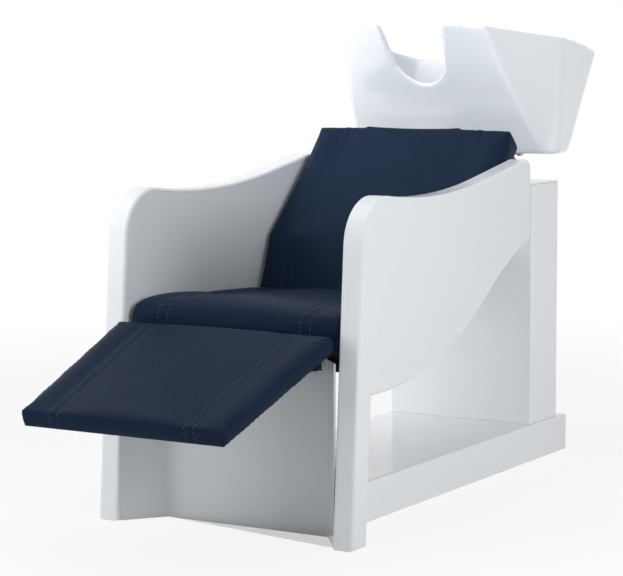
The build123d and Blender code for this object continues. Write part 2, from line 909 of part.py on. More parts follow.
def board_screws():
    """Screws through the rails into the seat pan and through the uprights into the back board."""
    screws = []
    for x, y in seat_screw_points():
        head = rod_z(x, y, screw_head_radius, rail_low_z - screw_head_height, rail_low_z)
        shank = rod_z(x, y, screw_radius, rail_low_z, rail_top_z + screw_length)
        screws.append(head + shank)
    for x in (-rail_x, rail_x):
        for run in back_screw_points():
            place = back_screw_place(x, run, back_thickness + upright_thickness)
            shank_length = upright_thickness + screw_length - fit_gap * 2
            head = place * Pos(0, 0, screw_head_height / 2) * Cylinder(screw_head_radius, screw_head_height)
            shank = place * Pos(0, 0, -shank_length / 2) * Cylinder(screw_radius, shank_length)
            screws.append(head + shank)
    return screws


def back_shell():
    """Moulded cover behind the backrest frame."""
    depth = back_thickness + upright_thickness + screw_head_height + seam_gap + back_tube
    outer = lumbar_strip(back_thickness + fit_gap, depth + back_shell_wall, back_board_inset, back_board_inset)
    inner = lumbar_strip(
        back_thickness - overrun, depth,
        back_board_inset + back_shell_wall, back_board_inset + back_shell_wall,
    )
    half = back_shell_half_width
    shell = slab_x(outer, -half, half)
    shell -= slab_x(inner, back_shell_wall - half, half - back_shell_wall)
    size = back_tube / 2 + seam_gap
    shell -= block(
        -arm_outer_x, arm_outer_x,
        back_tube_y - size, back_tube_y + size,
        back_tube_z - size, back_tube_z + size,
    )
    for x in (-rail_x, rail_x):
        reach = upright_thickness / 2 + seam_gap
        shell -= block(
            x - reach, x + reach, -arm_rear_z, arm_rear_z,
            rail_top_z, back_bottom_z + back_board_inset,
        )
    return shell


def legrest_plane(run, height):
    """Plane square to the legrest at a distance along it, from the hinge axis."""
    slope = math.radians(legrest_slope_deg)
    forward = Vector(0, -math.cos(slope), -math.sin(slope))
    up = Vector(0, -math.sin(slope), math.cos(slope))
    origin = Vector(0, legrest_axis_y, legrest_axis_z) + forward * run + up * height
    return Plane(origin=origin, x_dir=(1, 0, 0), z_dir=forward)


def legrest_half_width(run):
    """Half width of the legrest at a distance from its rear edge."""
    share = run / legrest_length
    return legrest_rear_half_width + (legrest_front_half_width - legrest_rear_half_width) * share


def legrest_board_face(inset):
    """Plan of the legrest's board, seen square to it."""
    rear = legrest_start + inset
    front = legrest_start + legrest_length - inset
    rear_half = legrest_half_width(inset) - inset
    front_half = legrest_half_width(legrest_length - inset) - inset
    return polygon([(-rear_half, rear), (rear_half, rear), (front_half, front), (-front_half, front)])


def legrest_slab(face, low, high):
    """Solid between two heights above the hinge axis, from a plan of the legrest."""
    slope = math.radians(legrest_slope_deg)
    up = Vector(0, -math.sin(slope), math.cos(slope))
    axis = Vector(0, legrest_axis_y, legrest_axis_z)
    plane = Plane(origin=axis + up * low, x_dir=(1, 0, 0), z_dir=-up)
    return extrude(plane * face, amount=high - low, dir=up)


def legrest_low():
    """Height of the legrest's underside above the hinge axis."""
    return legrest_top - legrest_thickness


def legrest_screw_points():
    """Plan places of the screws of the legrest arms."""
    side = hinge_flange_half_width / 2
    runs = (hinge_flange_start + hinge_flange_length / 4, hinge_flange_start + hinge_flange_length * 3 / 4)
    return [(sign * (hinge_x + side), run) for sign in (-1, 1) for run in runs]


def legrest_board():
    """Board inside the legrest pad."""
    board = legrest_slab(legrest_board_face(legrest_board_inset), legrest_low(), legrest_low() + legrest_board_thickness)
    for x, run in legrest_screw_points():
        hole = Pos(x, run) * Circle(screw_radius)
        board -= legrest_slab(hole, legrest_low() - overrun, legrest_low() + legrest_board_thickness - seam_gap)
    return board


def legrest_cushion():
    """Legrest pad: a tapering slab with a slight crown, wrapped round its board."""
    sections = []
    edge = legrest_crown
    stations = (
        (0, edge), (edge, 0), (legrest_length / 2, 0), (legrest_length - edge, 0), (legrest_length, edge)
    )
    for run, sink in stations:
        plane = legrest_plane(legrest_start + run, legrest_low())
        half = legrest_half_width(run) - sink
        sections.append(pad_section(plane, half, legrest_thickness - sink, legrest_crown, pad_bulge))
    pad = loft(sections, ruled=True)
    pocket = legrest_slab(
        legrest_board_face(legrest_board_inset - fit_gap),
        legrest_low() - overrun, legrest_low() + legrest_board_thickness + fit_gap,
    )
    return pad - pocket


def legrest_arm():
    """Right hinge arm: an eye, a web and a flange that is screwed to the board."""
    flange_high = legrest_low() - fit_gap
    flange_low = flange_high - hinge_flange_thickness
    start = hinge_flange_start
    end = start + hinge_flange_length
    half = hinge_flange_half_width
    flange_face = polygon([
        (hinge_x - half, start), (hinge_x + half, start), (hinge_x + half, end), (hinge_x - half, end)
    ])
    flange = legrest_slab(flange_face, flange_low, flange_high)
    slope = math.radians(legrest_slope_deg)
    forward = Vector(-math.cos(slope), -math.sin(slope))
    up = Vector(-math.sin(slope), math.cos(slope))
    axis = Vector(legrest_axis_y, legrest_axis_z)

    def place(run, height):
        point = axis + forward * run + up * height
        return (point.X, point.Y)

    web = polygon([
        place(0, -hinge_eye_radius),
        place(0, hinge_eye_radius),
        place(start, flange_low + seam_gap),
        place(start + hinge_web_reach, flange_low + seam_gap),
    ])
    x0 = hinge_x - hinge_arm_thickness / 2
    x1 = hinge_x + hinge_arm_thickness / 2
    arm = flange + slab_x(web, x0, x1) + rod_x(axis.X, axis.Y, hinge_eye_radius, x0, x1)
    arm -= rod_x(axis.X, axis.Y, hinge_pin_radius + running_gap, x0 - overrun, x1 + overrun)
    for x, run in legrest_screw_points():
        hole = Pos(x, run) * Circle(screw_radius + running_gap)
        arm -= legrest_slab(hole, flange_low - overrun, flange_high + overrun)
    return arm


def legrest_screws():
    """Screws through the arm flanges into the legrest board."""
    head_z = legrest_low() - fit_gap - hinge_flange_thickness
    tip = legrest_low() + legrest_board_thickness - seam_gap
    screws = []
    for x, run in legrest_screw_points():
        shank = legrest_slab(Pos(x, run) * Circle(screw_radius), head_z, tip - seam_gap)
        head = legrest_slab(Pos(x, run) * Circle(screw_head_radius), head_z - screw_head_height, head_z)
        screws.append(head + shank)
    return screws


def hinge_layers():
    """Half distances from the hinge plane: arm face, cheek inner face and cheek outer face."""
    arm = hinge_arm_thickness / 2
    cheek = arm + hinge_washer_thickness + running_gap * 2
    return arm, cheek, cheek + hinge_cheek_thickness


def hinge_bracket():
    """Right bracket on the front cross tube: a plate and two cheeks round the arm's eye."""
    face_y = front_tube_y - tube / 2
    plate_y = face_y - hinge_plate_thickness
    half = hinge_flange_half_width
    arm, cheek_in, cheek_out = hinge_layers()
    bracket = block(hinge_x - half, hinge_x + half, plate_y, face_y, rail_low_z, rail_top_z)
    eye = hinge_eye_radius
    for side in (-1, 1):
        x0 = hinge_x + min(side * cheek_in, side * cheek_out)
        x1 = hinge_x + max(side * cheek_in, side * cheek_out)
        bracket += rod_x(legrest_axis_y, legrest_axis_z, eye, x0, x1)
        bracket += block(x0, x1, legrest_axis_y, plate_y, rail_low_z + seam_gap, legrest_axis_z + eye / 2)
    x0 = hinge_x - half
    x1 = hinge_x + half
    return bracket - rod_x(legrest_axis_y, legrest_axis_z, hinge_pin_radius + running_gap, x0, x1)


def hinge_pin():
    """Right shoulder bolt of the legrest hinge, with its nut."""
    arm, cheek_in, cheek_out = hinge_layers()
    y = legrest_axis_y
    z = legrest_axis_z
    reach = cheek_out + running_gap
    shank = rod_x(y, z, hinge_pin_radius, hinge_x - reach, hinge_x + reach)
    head = rod_x(y, z, hinge_washer_radius - seam_gap, hinge_x - reach - bolt_head_height, hinge_x - reach)
    nut = rod_x(y, z, hinge_washer_radius - seam_gap, hinge_x + reach, hinge_x + reach + bolt_head_height)
    return head + shank + nut


def friction_washers():
    """Friction discs on both faces of the right arm's eye."""
    arm, cheek_in, cheek_out = hinge_layers()
    washers = []
    for side in (-1, 1):
        near = side * (arm + running_gap)
        far = side * (arm + running_gap + hinge_washer_thickness)
        x0 = hinge_x + min(near, far)
        x1 = hinge_x + max(near, far)
        disc = rod_x(legrest_axis_y, legrest_axis_z, hinge_washer_radius, x0, x1)
        washers.append(disc - rod_x(legrest_axis_y, legrest_axis_z, hinge_pin_radius + running_gap, x0, x1))
    return washers


def basin_outline(half_points, z, inset):
    """Plan of the basin at one height, mirrored and drawn in by inset."""
    points = [Vector(x, y) for x, y in half_points]
    points += [Vector(-p.X, p.Y) for p in points[::-1]]
    moved = []
    for i, point in enumerate(points):
        before = (point - points[i - 1]).normalized()
        after = (points[(i + 1) % len(points)] - point).normalized()
        turn_in = Vector(-before.Y - after.Y, before.X + after.X).normalized()
        reach = inset / math.cos(math.radians(before.get_angle(after) / 2))
        moved.append(point + turn_in * reach)
    face = make_face(Polyline(*[(p.X, p.Y) for p in moved], close=True))
    radius = max(basin_corner_radius - inset / 2, fit_gap)
    face = fillet(face.vertices(), radius)
    return Plane.XY.offset(z) * face


def basin_form(inset, low_z, high_z):
    """Loft of the basin's three plans."""
    return loft([
        basin_outline(basin_low, low_z, inset),
        basin_outline(basin_mid, basin_mid_z, inset),
        basin_outline(basin_high, high_z, inset),
    ])


def basin_rim_cut():
    """Side view of everything above the rim."""
    rim = [(y, basin_high_z - drop) for y, drop in zip(rim_y, rim_drop)]
    high = basin_high_z + overrun
    edges = [
        ThreePointArc(*rim[:3]),
        ThreePointArc(*rim[2:]),
        Line(rim[-1], (rim_y[-1], high)),
        Line((rim_y[-1], high), (rim_y[0], high)),
        Line((rim_y[0], high), rim[0]),
    ]
    return make_face(edges)


def notch_outline():
    """Front view of the neck notch."""
    low_z = basin_high_z - notch_drop
    centre_z = low_z + notch_radius
    flare = (notch_half_width - notch_radius) / (basin_high_z - notch_flare_drop - centre_z)
    high = basin_high_z + overrun
    half = notch_radius + flare * (high - centre_z)
    edges = [
        ThreePointArc((-notch_radius, centre_z), (0, low_z), (notch_radius, centre_z)),
        Line((notch_radius, centre_z), (half, high)),
        Line((half, high), (-half, high)),
        Line((-half, high), (-notch_radius, centre_z)),
    ]
    return make_face(edges)


def basin():
    """Basin with its bowl, neck notch, sloping rim, tap ledge and drain hole."""
    outer = basin_form(0, basin_low_z, basin_high_z)
    bowl = basin_form(basin_wall, basin_low_z + basin_wall, basin_high_z + basin_wall)
    ledge = outer & block(ledge_x, arm_outer_x, ledge_y, rim_y[-1], basin_low_z, ledge_z)
    shell = (outer - bowl) + ledge
    reach = arm_outer_x + overrun
    shell -= slab_x(basin_rim_cut(), -reach, reach)
    notch_rear_y = (basin_mid[0][1] + basin_low[-1][1]) / 2
    shell -= slab_y(notch_outline(), basin_high[0][1] - overrun, notch_rear_y)
    shell -= rod_z(0, drain_y, drain_hole_radius, 0, basin_mid_z)
    shell -= rod_z(tap_x, tap_y, tap_shank_radius + fit_gap, basin_low_z, basin_high_z)
    shell -= rod_z(tap_x, tap_y, tap_nut_radius + tap_nut_clearance, basin_low_z, ledge_z - ledge_thickness)
    shell -= rod_z(ferrule_x, ferrule_y, ferrule_radius, basin_low_z, basin_high_z)
    for x, y in basin_bolt_points():
        shell -= rod_z(x, y, bolt_radius, 0, basin_low_z + basin_wall / 2)
    return shell


def basin_bolt_points():
    """Places of the bolts that hold the basin to its bracket."""
    inset = bolt_head_radius * 2
    ys = (basin_plate_front_y + inset, basin_plate_rear_y - inset)
    return [(sign * (basin_plate_half_width - inset), y) for sign in (-1, 1) for y in ys]


def basin_bracket():
    """Steel plate under the basin with two ears for the tilt pivots."""
    high = basin_low_z - fit_gap
    low = high - basin_plate_thickness
    half = basin_plate_half_width
    plate = block(-half, half, basin_plate_front_y, basin_plate_rear_y, low, high)
    plate -= rod_z(0, drain_y, drain_hole_radius, low - overrun, high + overrun)
    for x, y in basin_bolt_points():
        plate -= rod_z(x, y, bolt_radius + running_gap, low - overrun, high + overrun)
    for side in (-1, 1):
        x0 = side * tilt_ear_x
        x1 = side * (tilt_ear_x + tilt_ear_thickness)
        plate += block(
            min(x0, x1), max(x0, x1), tilt_y - tilt_eye_radius, tilt_y + tilt_eye_radius, tilt_z, low
        )
        plate += rod_x(tilt_y, tilt_z, tilt_eye_radius, x0, x1)
    reach = tilt_ear_x + tilt_ear_thickness + overrun
    return plate - rod_x(tilt_y, tilt_z, tilt_pin_radius + running_gap, -reach, reach)


def basin_bolts():
    """Bolts from the bracket up into the basin's base."""
    low = basin_low_z - fit_gap - basin_plate_thickness
    bolts = []
    for x, y in basin_bolt_points():
        head = rod_z(x, y, bolt_head_radius, low - bolt_head_height, low)
        shank = rod_z(x, y, bolt_radius, low, basin_low_z + basin_wall / 2 - seam_gap)
        bolts.append(head + shank)
    return bolts


def tilt_bracket():
    """Fixed fork on the column: a base open at the front and two ears outside the basin's."""
    low = plate_top_z
    high = low + tilt_base_thickness
    half = tilt_base_half_width
    base = block(-half, half, tilt_base_front_y, tilt_base_rear_y, low, high)
    base -= block(
        -tilt_gate_half_width, tilt_gate_half_width,
        tilt_base_front_y - overrun, tilt_gate_rear_y,
        0, high + overrun,
    )
    for side in (-1, 1):
        x0 = side * (tilt_ear_x + tilt_ear_thickness + seam_gap)
        x1 = side * (tilt_ear_x + tilt_ear_thickness * 2 + seam_gap)
        base += block(
            min(x0, x1), max(x0, x1), tilt_y - tilt_eye_radius, tilt_y + tilt_eye_radius, high, tilt_z
        )
        base += rod_x(tilt_y, tilt_z, tilt_eye_radius, x0, x1)
    reach = tilt_base_half_width + overrun
    return base - rod_x(tilt_y, tilt_z, tilt_pin_radius + running_gap, -reach, reach)


def tilt_pin(side):
    """Pivot bolt of one side: the left one is longer and carries the clamp lever."""
    y = tilt_y
    z = tilt_z
    inner = tilt_ear_x - running_gap
    outer = tilt_ear_x + tilt_ear_thickness * 2 + seam_gap + running_gap
    head = rod_x(y, z, bolt_head_radius * 1.5, side * (inner - bolt_head_height), side * inner)
    tail = clamp_hub_width if side < 0 else 0
    shank = rod_x(y, z, tilt_pin_radius, side * inner, side * (outer + tail))
    pin = head + shank
    if side > 0:
        pin += rod_x(y, z, bolt_head_radius * 1.5, side * outer, side * (outer + bolt_head_height))
    return pin


def clamp_lever():
    """Lever on the left pivot that clamps the basin's tilt."""
    x0 = -(tilt_ear_x + tilt_ear_thickness * 2 + seam_gap * 2)
    x1 = x0 - clamp_hub_width
    hub = rod_x(tilt_y, tilt_z, clamp_hub_radius, x1, x0)
    angle = math.radians(clamp_arm_deg)
    start = Vector((x0 + x1) / 2, tilt_y, tilt_z)
    direction = Vector(0, math.cos(angle), -math.sin(angle))
    plane = Plane(origin=start + direction * clamp_hub_radius / 2, z_dir=direction)
    arm = extrude(plane * Circle(clamp_arm_radius), amount=clamp_arm_length)
    knob = Pos(*(start + direction * (clamp_arm_length + clamp_hub_radius / 2))) * Sphere(clamp_arm_radius * 1.6)
    lever = hub + arm + knob
    return lever - rod_x(tilt_y, tilt_z, tilt_pin_radius + running_gap, x1 - overrun, x0 + overrun)


def bowl_floor_z():
    """Height of the bowl's floor."""
    return basin_low_z + basin_wall


def drain_flange():
    """Ring in the bowl's floor with a threaded throat."""
    z = bowl_floor_z()
    ring = rod_z(0, drain_y, drain_flange_radius, z, z + drain_flange_thickness)
    throat = rod_z(0, drain_y, drain_throat_radius, z - drain_throat_length, z)
    bore = rod_z(0, drain_y, drain_throat_bore, z - drain_throat_length, z + drain_flange_thickness)
    seat = rod_z(0, drain_y, drain_seat_radius, strainer_low_z(), z + drain_flange_thickness)
    return ring + throat - bore - seat


def strainer_low_z():
    """Height of the seat that the strainer rests on."""
    return bowl_floor_z() + drain_flange_thickness - strainer_height


def drain_strainer():
    """Lift-out hair catcher in the drain, a slotted disc with a knob."""
    z = strainer_low_z()
    disc = rod_z(0, drain_y, strainer_radius, z, z + strainer_height)
    ring = strainer_radius * strainer_slot_ring_share
    for i in range(strainer_slot_count):
        angle = math.radians(360 / strainer_slot_count * i)
        x = ring * math.cos(angle)
        y = drain_y + ring * math.sin(angle)
        disc -= rod_z(x, y, strainer_slot_radius, z, z + strainer_height)
    return disc + rod_z(0, drain_y, strainer_knob_radius, z, z + strainer_height + strainer_knob_height)


def plate_under_z():
    """Underside of the plate below the basin."""
    return basin_low_z - fit_gap - basin_plate_thickness


def drain_locknut():
    """Nut that clamps the drain flange from below."""
    high = plate_under_z()
    nut = rod_z(0, drain_y, locknut_radius, high - locknut_height, high)
    return nut - rod_z(0, drain_y, drain_throat_radius, high - locknut_height, high)


def drain_tail():
    """Pipe from the drain's throat down into the waste funnel."""
    high = bowl_floor_z() - drain_throat_length
    pipe = rod_z(0, drain_y, tail_radius, tail_low_z, high)
    return pipe - rod_z(0, drain_y, tail_radius - tail_wall, tail_low_z, high)


def waste_pipe():
    """Funnel under the swinging tail, and the fixed pipe from it to the floor."""

    def funnel(shrink):
        top = Plane.XY.offset(funnel_top_z) * Pos(0, funnel_y) * Circle(funnel_radius - shrink)
        waist_z = (funnel_top_z + funnel_low_z) / 2
        waist = Plane.XY.offset(waist_z) * Pos(0, funnel_y) * Circle(funnel_radius - shrink)
        foot = Plane.XY.offset(funnel_low_z) * Pos(0, funnel_y) * Circle(waste_radius - shrink)
        return loft([top, waist], ruled=True) + loft([waist, foot], ruled=True)

    pipe = rod_z(0, funnel_y, waste_radius, waste_low_z, funnel_low_z)
    bore = rod_z(0, funnel_y, waste_radius - waste_wall, waste_low_z, funnel_low_z)
    return funnel(0) + pipe - funnel(funnel_wall) - bore


def pipe_plate():
    """Plate between the column posts that holds the waste pipe upright."""
    half = column_post_x - column_post / 2
    plate = block(
        -half, half,
        funnel_y - pipe_plate_half_depth, funnel_y + pipe_plate_half_depth,
        pipe_plate_z, pipe_plate_z + pipe_plate_thickness,
    )
    return plate - rod_z(0, funnel_y, waste_radius + running_gap, 0, pipe_plate_z + overrun)


def tap_top_z():
    """Height of the top of the tap's body."""
    return ledge_z + tap_base_height + tap_body_height


def tap_body():
    """Mixer body with its base ring, shank, nut and the hose outlet below the ledge."""
    base = rod_z(tap_x, tap_y, tap_base_radius, ledge_z, ledge_z + tap_base_height)
    body = rod_z(tap_x, tap_y, tap_body_radius, ledge_z + tap_base_height, tap_top_z())
    shank = rod_z(tap_x, tap_y, tap_shank_radius, ledge_z - tap_shank_length, ledge_z)
    nut_top = ledge_z - ledge_thickness
    nut = rod_z(tap_x, tap_y, tap_nut_radius, nut_top - tap_nut_height, nut_top)
    return base + body + shank + nut


def tap_cap():
    """Cap on the mixer that turns to set the temperature, with a slot for the lever."""
    z = tap_top_z() + tap_lever_gap
    cap = rod_z(tap_x, tap_y, tap_cap_radius, z, z + tap_cap_height)
    half = tap_lever_width / 2 + tap_lever_gap
    low = tap_pivot_z() - tap_eye_radius - tap_lever_gap
    slot = block(
        tap_x - tap_cap_radius - overrun, tap_x + tap_eye_radius + tap_lever_gap,
        tap_y - half, tap_y + half, low, z + tap_cap_height + overrun,
    )
    pin = rod_y(tap_x, tap_pivot_z(), tap_pivot_radius, tap_y - half, tap_y + half)
    return cap - slot + pin


def tap_pivot_z():
    """Height of the lever's pivot."""
    return tap_top_z() + tap_cap_height - tap_eye_radius


def tap_lever():
    """Lever that lifts to open the mixer; it points to the middle of the bowl."""
    z = tap_pivot_z()
    half = tap_lever_width / 2
    low = z - tap_lever_thickness / 2
    high = z + tap_lever_thickness / 2
    bar = block(tap_x - tap_lever_length, tap_x, tap_y - half, tap_y + half, low, high)
    bar = fillet(bar.edges().filter_by(Axis.Z).sort_by(Axis.X)[:2], half - fit_gap)
    bar += rod_y(tap_x, z, tap_eye_radius, tap_y - half, tap_y + half)
    return bar - rod_y(tap_x, z, tap_pivot_radius + running_gap, tap_y - half, tap_y + half)


def hose_ferrule():
    """Ring in the ledge that guides the hand shower's hose."""
    high = ledge_z + ferrule_flange
    low = ledge_z - ledge_thickness - ferrule_flange
    ring = rod_z(ferrule_x, ferrule_y, ferrule_radius + ferrule_lip, ledge_z, high)
    sleeve = rod_z(ferrule_x, ferrule_y, ferrule_radius - running_gap, low, ledge_z)
    return ring + sleeve - rod_z(ferrule_x, ferrule_y, ferrule_bore, low, high)


def pair(name, piece):
    """A right piece and its mirror image, as two nodes."""
    return {name + "_right": piece, name + "_left": mirrored(piece)}


def both(pieces):
    """Right pieces and their mirror images, as one list."""
    return pieces + [mirrored(piece) for piece in pieces]


def build():
    """Every node by name: one solid, or a list of separate solids."""
    nodes = {
        "base_plate": base_plate(),
        "plinth_cover": plinth_cover(),
        "front_panel": front_panel(),
        "front_cross_tube": front_cross_tube(),
        "back_cross_tube": back_cross_tube(),
        "bridge_cover": bridge_cover(),
        "side_blocks": both(side_blocks()),
        "side_bolts": both(side_bolts()),
        "front_posts": both([front_post()]),
        "column_posts": both([column_post_tube()]),
        "seat_pan": seat_pan(),
        "seat_cushion": seat_cushion(),
        "backrest_board": backrest_board(),
        "backrest_cushion": backrest_cushion(),
        "back_shell": back_shell(),
        "board_screws": board_screws(),
        "legrest_board": legrest_board(),
        "legrest_cushion": legrest_cushion(),
        "legrest_screws": legrest_screws(),
        "hinge_pins": both([hinge_pin()]),
        "friction_washers": both(friction_washers()),
        "column_top_plate": column_top_plate(),
        "column_housing": column_housing(),
        "column_cap": column_cap(),
        "rear_access_panel": rear_access_panel(),
        "rear_screw_bars": rear_screw_bars(),
        "rear_panel_screws": rear_panel_screws(),
        "tilt_bracket": tilt_bracket(),
        "tilt_pins": [tilt_pin(-1), tilt_pin(1)],
        "clamp_lever": clamp_lever(),
        "basin": basin(),
        "basin_bracket": basin_bracket(),
        "basin_bolts": basin_bolts(),
        "drain_flange": drain_flange(),
        "drain_strainer": drain_strainer(),
        "drain_locknut": drain_locknut(),
        "drain_tail": drain_tail(),
        "waste_pipe": waste_pipe(),
        "pipe_plate": pipe_plate(),
        "tap_body": tap_body(),
        "tap_cap": tap_cap(),
        "tap_lever": tap_lever(),
        "hose_ferrule": hose_ferrule(),
    }
    nodes.update(pair("side_shell", side_shell()))
    nodes.update(pair("side_liner", side_liner()))
    nodes.update(pair("outrigger", outrigger()))
    nodes.update(pair("seat_rail", seat_rail()))
    nodes.update(pair("bridge_beam", bridge_beam()))
    nodes.update(pair("back_upright", back_upright()))
    nodes.update(pair("legrest_arm", legrest_arm()))
    nodes.update(pair("hinge_bracket", hinge_bracket()))
    return nodes


os.makedirs("parts", exist_ok=True)
for name, piece in build().items():
    solids = piece if isinstance(piece, list) else [piece]
    bodies = [solid for part in solids for solid in part.solids()]
    shape = bodies[0] if len(bodies) == 1 else Compound(children=bodies)
    export_step(shape, f"parts/{name}.step")
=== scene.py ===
"""Looks of a salon hair washing bed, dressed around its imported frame.

Lengths are in metres in the frame's own axes: the sitter faces -Y, +X is the sitter's left, +Z is up.
"""
import logging
import math
from collections.abc import Sequence
from dataclasses import dataclass
from enum import Enum

import bmesh
import bpy
import numpy as np
from mathutils import Matrix, Vector
from mathutils.bvhtree import BVHTree
from mathutils.geometry import delaunay_2d_cdt


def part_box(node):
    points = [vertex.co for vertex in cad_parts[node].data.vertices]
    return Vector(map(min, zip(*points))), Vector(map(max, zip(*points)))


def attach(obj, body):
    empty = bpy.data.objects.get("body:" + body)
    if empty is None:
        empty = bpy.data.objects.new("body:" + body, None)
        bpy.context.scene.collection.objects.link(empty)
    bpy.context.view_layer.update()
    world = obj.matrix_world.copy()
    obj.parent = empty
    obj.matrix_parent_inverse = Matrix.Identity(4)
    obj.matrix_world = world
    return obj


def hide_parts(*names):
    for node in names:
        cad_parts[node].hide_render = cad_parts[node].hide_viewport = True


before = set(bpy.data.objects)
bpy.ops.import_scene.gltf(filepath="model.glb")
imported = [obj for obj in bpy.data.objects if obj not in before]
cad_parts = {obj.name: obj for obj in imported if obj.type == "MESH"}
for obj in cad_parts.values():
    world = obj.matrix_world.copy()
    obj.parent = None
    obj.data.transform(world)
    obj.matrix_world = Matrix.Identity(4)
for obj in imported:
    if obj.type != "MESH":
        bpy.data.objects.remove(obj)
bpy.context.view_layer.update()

MERGE_DISTANCE = 1e-5
FLAT_ANGLE = math.radians(0.4)
MM = 0.001
SMOOTH_FACTOR = 0.5
FLAT_FACE_WEIGHT = 80
FILL_INSIDE = 1
FILL_EPSILON = 1e-7
TINY = 1e-9

log = logging.getLogger("wash_bed")

Colour = tuple[float, float, float]
Place = tuple[float, float, float]


class Slot(Enum):
    """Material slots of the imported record."""

    SHELL = "shell_gloss"
    CERAMIC = "ceramic"
    UPHOLSTERY = "upholstery"
    PLYWOOD = "plywood"
    CHROME = "chrome"
    ZINC = "zinc"
    DARK = "plastic_dark"
    GREY = "plastic_grey"
    STEEL = "steel_dark"


class Body(Enum):
    """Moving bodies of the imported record."""

    FRAME = "frame"
    LEGREST = "legrest"
    BASIN = "basin_head"
    CLAMP = "tilt_clamp"
    CAP = "mixer_cap"
    LEVER = "mixer_lever"
    STRAINER = "hair_strainer"


class Side(Enum):
    """Which side of the bed a piece stands on, as the sign of its X."""

    RIGHT = 1
    LEFT = -1


@dataclass(frozen=True)
class Sock:
    """An output socket whose operators add Math nodes to its graph."""

    graph: "Graph"
    socket: bpy.types.NodeSocket

    def math(self, operation: str, *others: "Sock | float") -> "Sock":
        """Adds one Math node.

        Args:
            operation: The Math node's operation.
            others: The operands after this socket.

        Returns:
            The node's result.
        """
        node = self.graph.add("ShaderNodeMath", {"operation": operation}, dict(enumerate((self, *others))))
        return self.graph.out(node)

    def __add__(self, other: "Sock | float") -> "Sock":
        """Sum of this and other."""
        return self.math("ADD", other)

    def __radd__(self, other: float) -> "Sock":
        """Sum of other and this."""
        return self.math("ADD", other)

    def __sub__(self, other: "Sock | float") -> "Sock":
        """This less other."""
        return self.math("SUBTRACT", other)

    def __rsub__(self, other: float) -> "Sock":
        """Other less this."""
        return self.math("MULTIPLY_ADD", -1.0, other)

    def __mul__(self, other: "Sock | float") -> "Sock":
        """Product of this and other."""
        return self.math("MULTIPLY", other)

    def __rmul__(self, other: float) -> "Sock":
        """Product of other and this."""
        return self.math("MULTIPLY", other)

    def __truediv__(self, other: "Sock | float") -> "Sock":
        """This divided by other."""
        return self.math("DIVIDE", other)

    def step(self, low: float, high: float) -> "Sock":
        """Smooth rise from 0 at low to 1 at high.

        Args:
            low: Value at which the rise starts.
            high: Value at which it ends.

        Returns:
            The smoothed share.
        """
        settings = {"interpolation_type": "SMOOTHSTEP"}
        inputs = {"Value": self, "From Min": low, "From Max": high}
        return self.graph.out(self.graph.add("ShaderNodeMapRange", settings, inputs))


@dataclass(frozen=True)
class Graph:
    """A node tree that is written as Python expressions."""

    tree: bpy.types.NodeTree

    def add(self, kind: str, settings: dict | None = None, inputs: dict | None = None) -> bpy.types.Node:
        """Adds one node.

        Args:
            kind: The node's type.
            settings: Its properties; "stops" holds a ramp's places and colours.
            inputs: Values or sockets by the input's name or number.

        Returns:
            The new node.
        """
        node = self.tree.nodes.new(kind)
        for name, value in (settings or {}).items():
            if name == "stops":
                self._set_stops(node.color_ramp, value)
            else:
                setattr(node, name, value)
        for name, value in (inputs or {}).items():
            if isinstance(value, Sock):
                self.tree.links.new(value.socket, node.inputs[name])
            else:
                node.inputs[name].default_value = value
        return node

    @staticmethod
    def _set_stops(ramp: bpy.types.ColorRamp, stops: Sequence[tuple[float, Colour]]) -> None:
        """Gives a colour ramp its stops."""
        while len(ramp.elements) < len(stops):
            ramp.elements.new(1.0)
        for element, (place, colour) in zip(ramp.elements, stops):
            element.position = place
            element.color = (*colour, 1.0)

    def out(self, node: bpy.types.Node, name: str | int = 0) -> Sock:
        """Output of a node, by name or number."""
        return Sock(self, node.outputs[name])

    def noise(self, place: Sock, scale: float, detail: float = 3.0, rough: float = 0.5) -> Sock:
        """Noise value from 0 to 1 at a place, scale in turns for each metre."""
        inputs = {"Vector": place, "Scale": scale, "Detail": detail, "Roughness": rough}
        return self.out(self.add("ShaderNodeTexNoise", inputs=inputs))

    def cells(self, place: Sock, scale: float, feature: str = "F1") -> Sock:
        """Distance value of a Voronoi pattern with scale cells for each metre."""
        node = self.add("ShaderNodeTexVoronoi", {"feature": feature}, {"Vector": place, "Scale": scale})
        return self.out(node)

    def axes(self, place: Sock) -> tuple[Sock, Sock, Sock]:
        """X, Y and Z of a place."""
        node = self.add("ShaderNodeSeparateXYZ", inputs={0: place})
        return self.out(node, 0), self.out(node, 1), self.out(node, 2)

    def mix(self, share: "Sock | float", first: "Sock | Colour", second: "Sock | Colour") -> Sock:
        """Colour between first, at share 0, and second, at share 1."""
        pair = [c if isinstance(c, Sock) else (*c, 1.0) for c in (first, second)]
        settings = {"data_type": "RGBA"}
        node = self.add("ShaderNodeMix", settings, {0: share, 6: pair[0], 7: pair[1]})
        return self.out(node, 2)

    def stretched(self, place: Sock, scale: Place) -> Sock:
        """Place with each axis scaled."""
        return self.out(self.add("ShaderNodeMapping", inputs={"Vector": place, "Scale": scale}))


@dataclass(frozen=True)
class Look:
    """What changes over a surface: colour, roughness and a height with its relief in metres."""

    colour: Sock | None = None
    roughness: Sock | None = None
    height: Sock | None = None
    relief: float = 0.0


def tinted(colour: Colour, share: float) -> Colour:
    """Colour times a share."""
    return tuple(share * c for c in colour)


